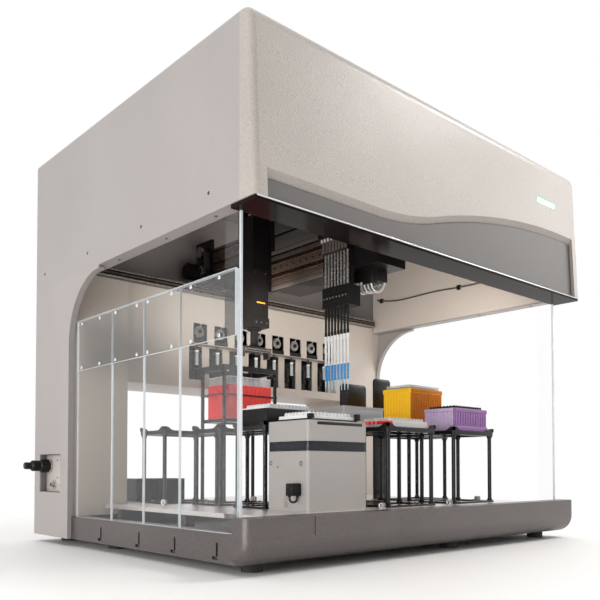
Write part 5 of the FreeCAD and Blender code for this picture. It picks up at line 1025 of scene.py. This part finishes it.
# Camera: it stands low in front of the left front corner, with the view shifted up; its upright
# sensor gives the other views, which are as far away as its width asks for, more room
CAMERA_AT = (-1.117, -1.1974, 0.1605)
CAMERA_YAW = 0.733
CAMERA_PITCH = 0.028
CAMERA_LENS = 42.99
CAMERA_SHIFT = 0.247
SENSOR_HIGH, SENSOR_WIDE = 36, 21.6
camera_data = bpy.data.cameras.new("camera")
camera_data.sensor_fit = "VERTICAL"
camera_data.sensor_height = SENSOR_HIGH
camera_data.sensor_width = SENSOR_WIDE
camera_data.lens = CAMERA_LENS
camera_data.shift_y = CAMERA_SHIFT
camera_data.clip_start = 0.05
camera = put("camera", camera_data)
camera.location = CAMERA_AT
camera.rotation_euler = (pi / 2 + CAMERA_PITCH, 0, -CAMERA_YAW)
scene.camera = camera

# Floor and light


def white_where_seen(tree, shader_output, output):
    """Plain white for the camera and in reflections, and the given shader for everything else."""
    path = node(tree, "LightPath")
    seen = node(tree, "Math", "MAXIMUM")
    through = node(tree, "Math", "MAXIMUM")
    link(tree, path, "Is Camera Ray", seen, 0)
    link(tree, path, "Is Glossy Ray", seen, 1)
    link(tree, seen, "Value", through, 0)
    link(tree, path, "Is Transmission Ray", through, 1)
    white = node(tree, "Background")
    white.inputs["Color"].default_value = WHITE
    mix = node(tree, "MixShader")
    link(tree, through, "Value", mix, "Fac")
    tree.links.new(shader_output, mix.inputs[1])
    link(tree, white, "Background", mix, 2)
    tree.links.new(mix.outputs["Shader"], output)


# The studio is dimmer in front of the object and to its left than behind it and above
SKY_COLOUR = (1.0, 0.985, 0.97, 1)
SKY_STRENGTH = 0.70
SKY_LEAN = (0.26, 0.40, 0.28)
world = bpy.data.worlds.new("studio")
scene.world = world
world.use_nodes = True
tree = world.node_tree
sky = tree.nodes["Background"]
sky.inputs["Color"].default_value = SKY_COLOUR
look_along = node(tree, "TexCoord")
lean = node(tree, "VectorMath", "DOT_PRODUCT")
lean.inputs[1].default_value = SKY_LEAN
strength = node(tree, "Math", "ADD")
strength.inputs[1].default_value = SKY_STRENGTH
link(tree, look_along, "Generated", lean, 0)
link(tree, lean, "Value", strength, 0)
link(tree, strength, "Value", sky, "Strength")
white_where_seen(tree, sky.outputs["Background"], tree.nodes["World Output"].inputs["Surface"])

# The floor turns to the plain white of the background away from the object
FLOOR_CLEAR = (0.75, 1.35)
FLOOR_SIZE, FLOOR_DROP = 9, 0.0005
FLOOR_COLOUR = (0.93, 0.925, 0.92, 1)
floor_mesh = bmesh.new()
bmesh.ops.create_grid(floor_mesh, x_segments=2, y_segments=2, size=FLOOR_SIZE)
floor_data = bpy.data.meshes.new("floor")
floor_mesh.to_mesh(floor_data)
floor_mesh.free()
floor = put("floor", floor_data)
floor.location = (0, 0, -FLOOR_DROP)
floor_look, tree, shader = node_tree("floor")
shader.inputs["Base Color"].default_value = FLOOR_COLOUR
tree.links.new(remap(tree, noise_factor(tree, 40), 0.5, 0.6), shader.inputs["Roughness"])
spot = node(tree, "TexCoord")
reach = node(tree, "VectorMath", "LENGTH")
fade = node(tree, "MapRange")
fade.interpolation_type = "SMOOTHSTEP"
fade.inputs["From Min"].default_value, fade.inputs["From Max"].default_value = FLOOR_CLEAR
seen = node(tree, "LightPath")
shown = node(tree, "Math", "MULTIPLY")
glow = node(tree, "Emission")
blend = node(tree, "MixShader")
link(tree, spot, "Object", reach, 0)
link(tree, reach, "Value", fade, "Value")
link(tree, fade, "Result", shown, 0)
link(tree, seen, "Is Camera Ray", shown, 1)
link(tree, shown, "Value", blend, "Fac")
link(tree, shader, "BSDF", blend, 1)
link(tree, glow, "Emission", blend, 2)
tree.links.new(blend.outputs["Shader"], tree.nodes["Material Output"].inputs["Surface"])
floor_data.materials.append(floor_look)


def area_light(name, place, aim, size, power, colour):
    """A rectangular lamp that points at a spot; places in metres, power in watts."""
    data = bpy.data.lights.new(name, "AREA")
    data.shape = "RECTANGLE"
    data.size, data.size_y = size
    data.energy = power
    data.color = colour
    lamp = put(name, data)
    lamp.location = place
    lamp.rotation_euler = (Vector(aim) - Vector(place)).to_track_quat("-Z", "Y").to_euler()
    return lamp


HOOD_SPOT = (0.5, -0.39, 0.76)
WARM = (1.0, 0.97, 0.94)
area_light("key", (1.6, -1.25, 2.2), HOOD_SPOT, (0.7, 0.6), 27, WARM)
area_light("left", (-2.4, -0.5, 0.35), (0.1, 0, 0.40), (1.8, 0.9), 30, SKY_COLOUR[:3])
area_light("top", (0, 0, 3.6), (0, 0, 0.5), (2.4, 2.4), 18, WHITE[:3])
# This one only adds gloss to the hood's right end
sheen = area_light("sheen", (1.75, -1.15, 1.25), HOOD_SPOT, (1.0, 0.8), 10, WARM)
sheen.visible_diffuse = False
# This one lights the inside without being seen itself
inner = area_light("inner", (0.05, -0.08, 0.50), (0.30, 0.30, 0.74), (0.7, 0.12), 1.5, (1.0, 0.96, 0.91))
inner.visible_camera = False
inner.visible_glossy = False
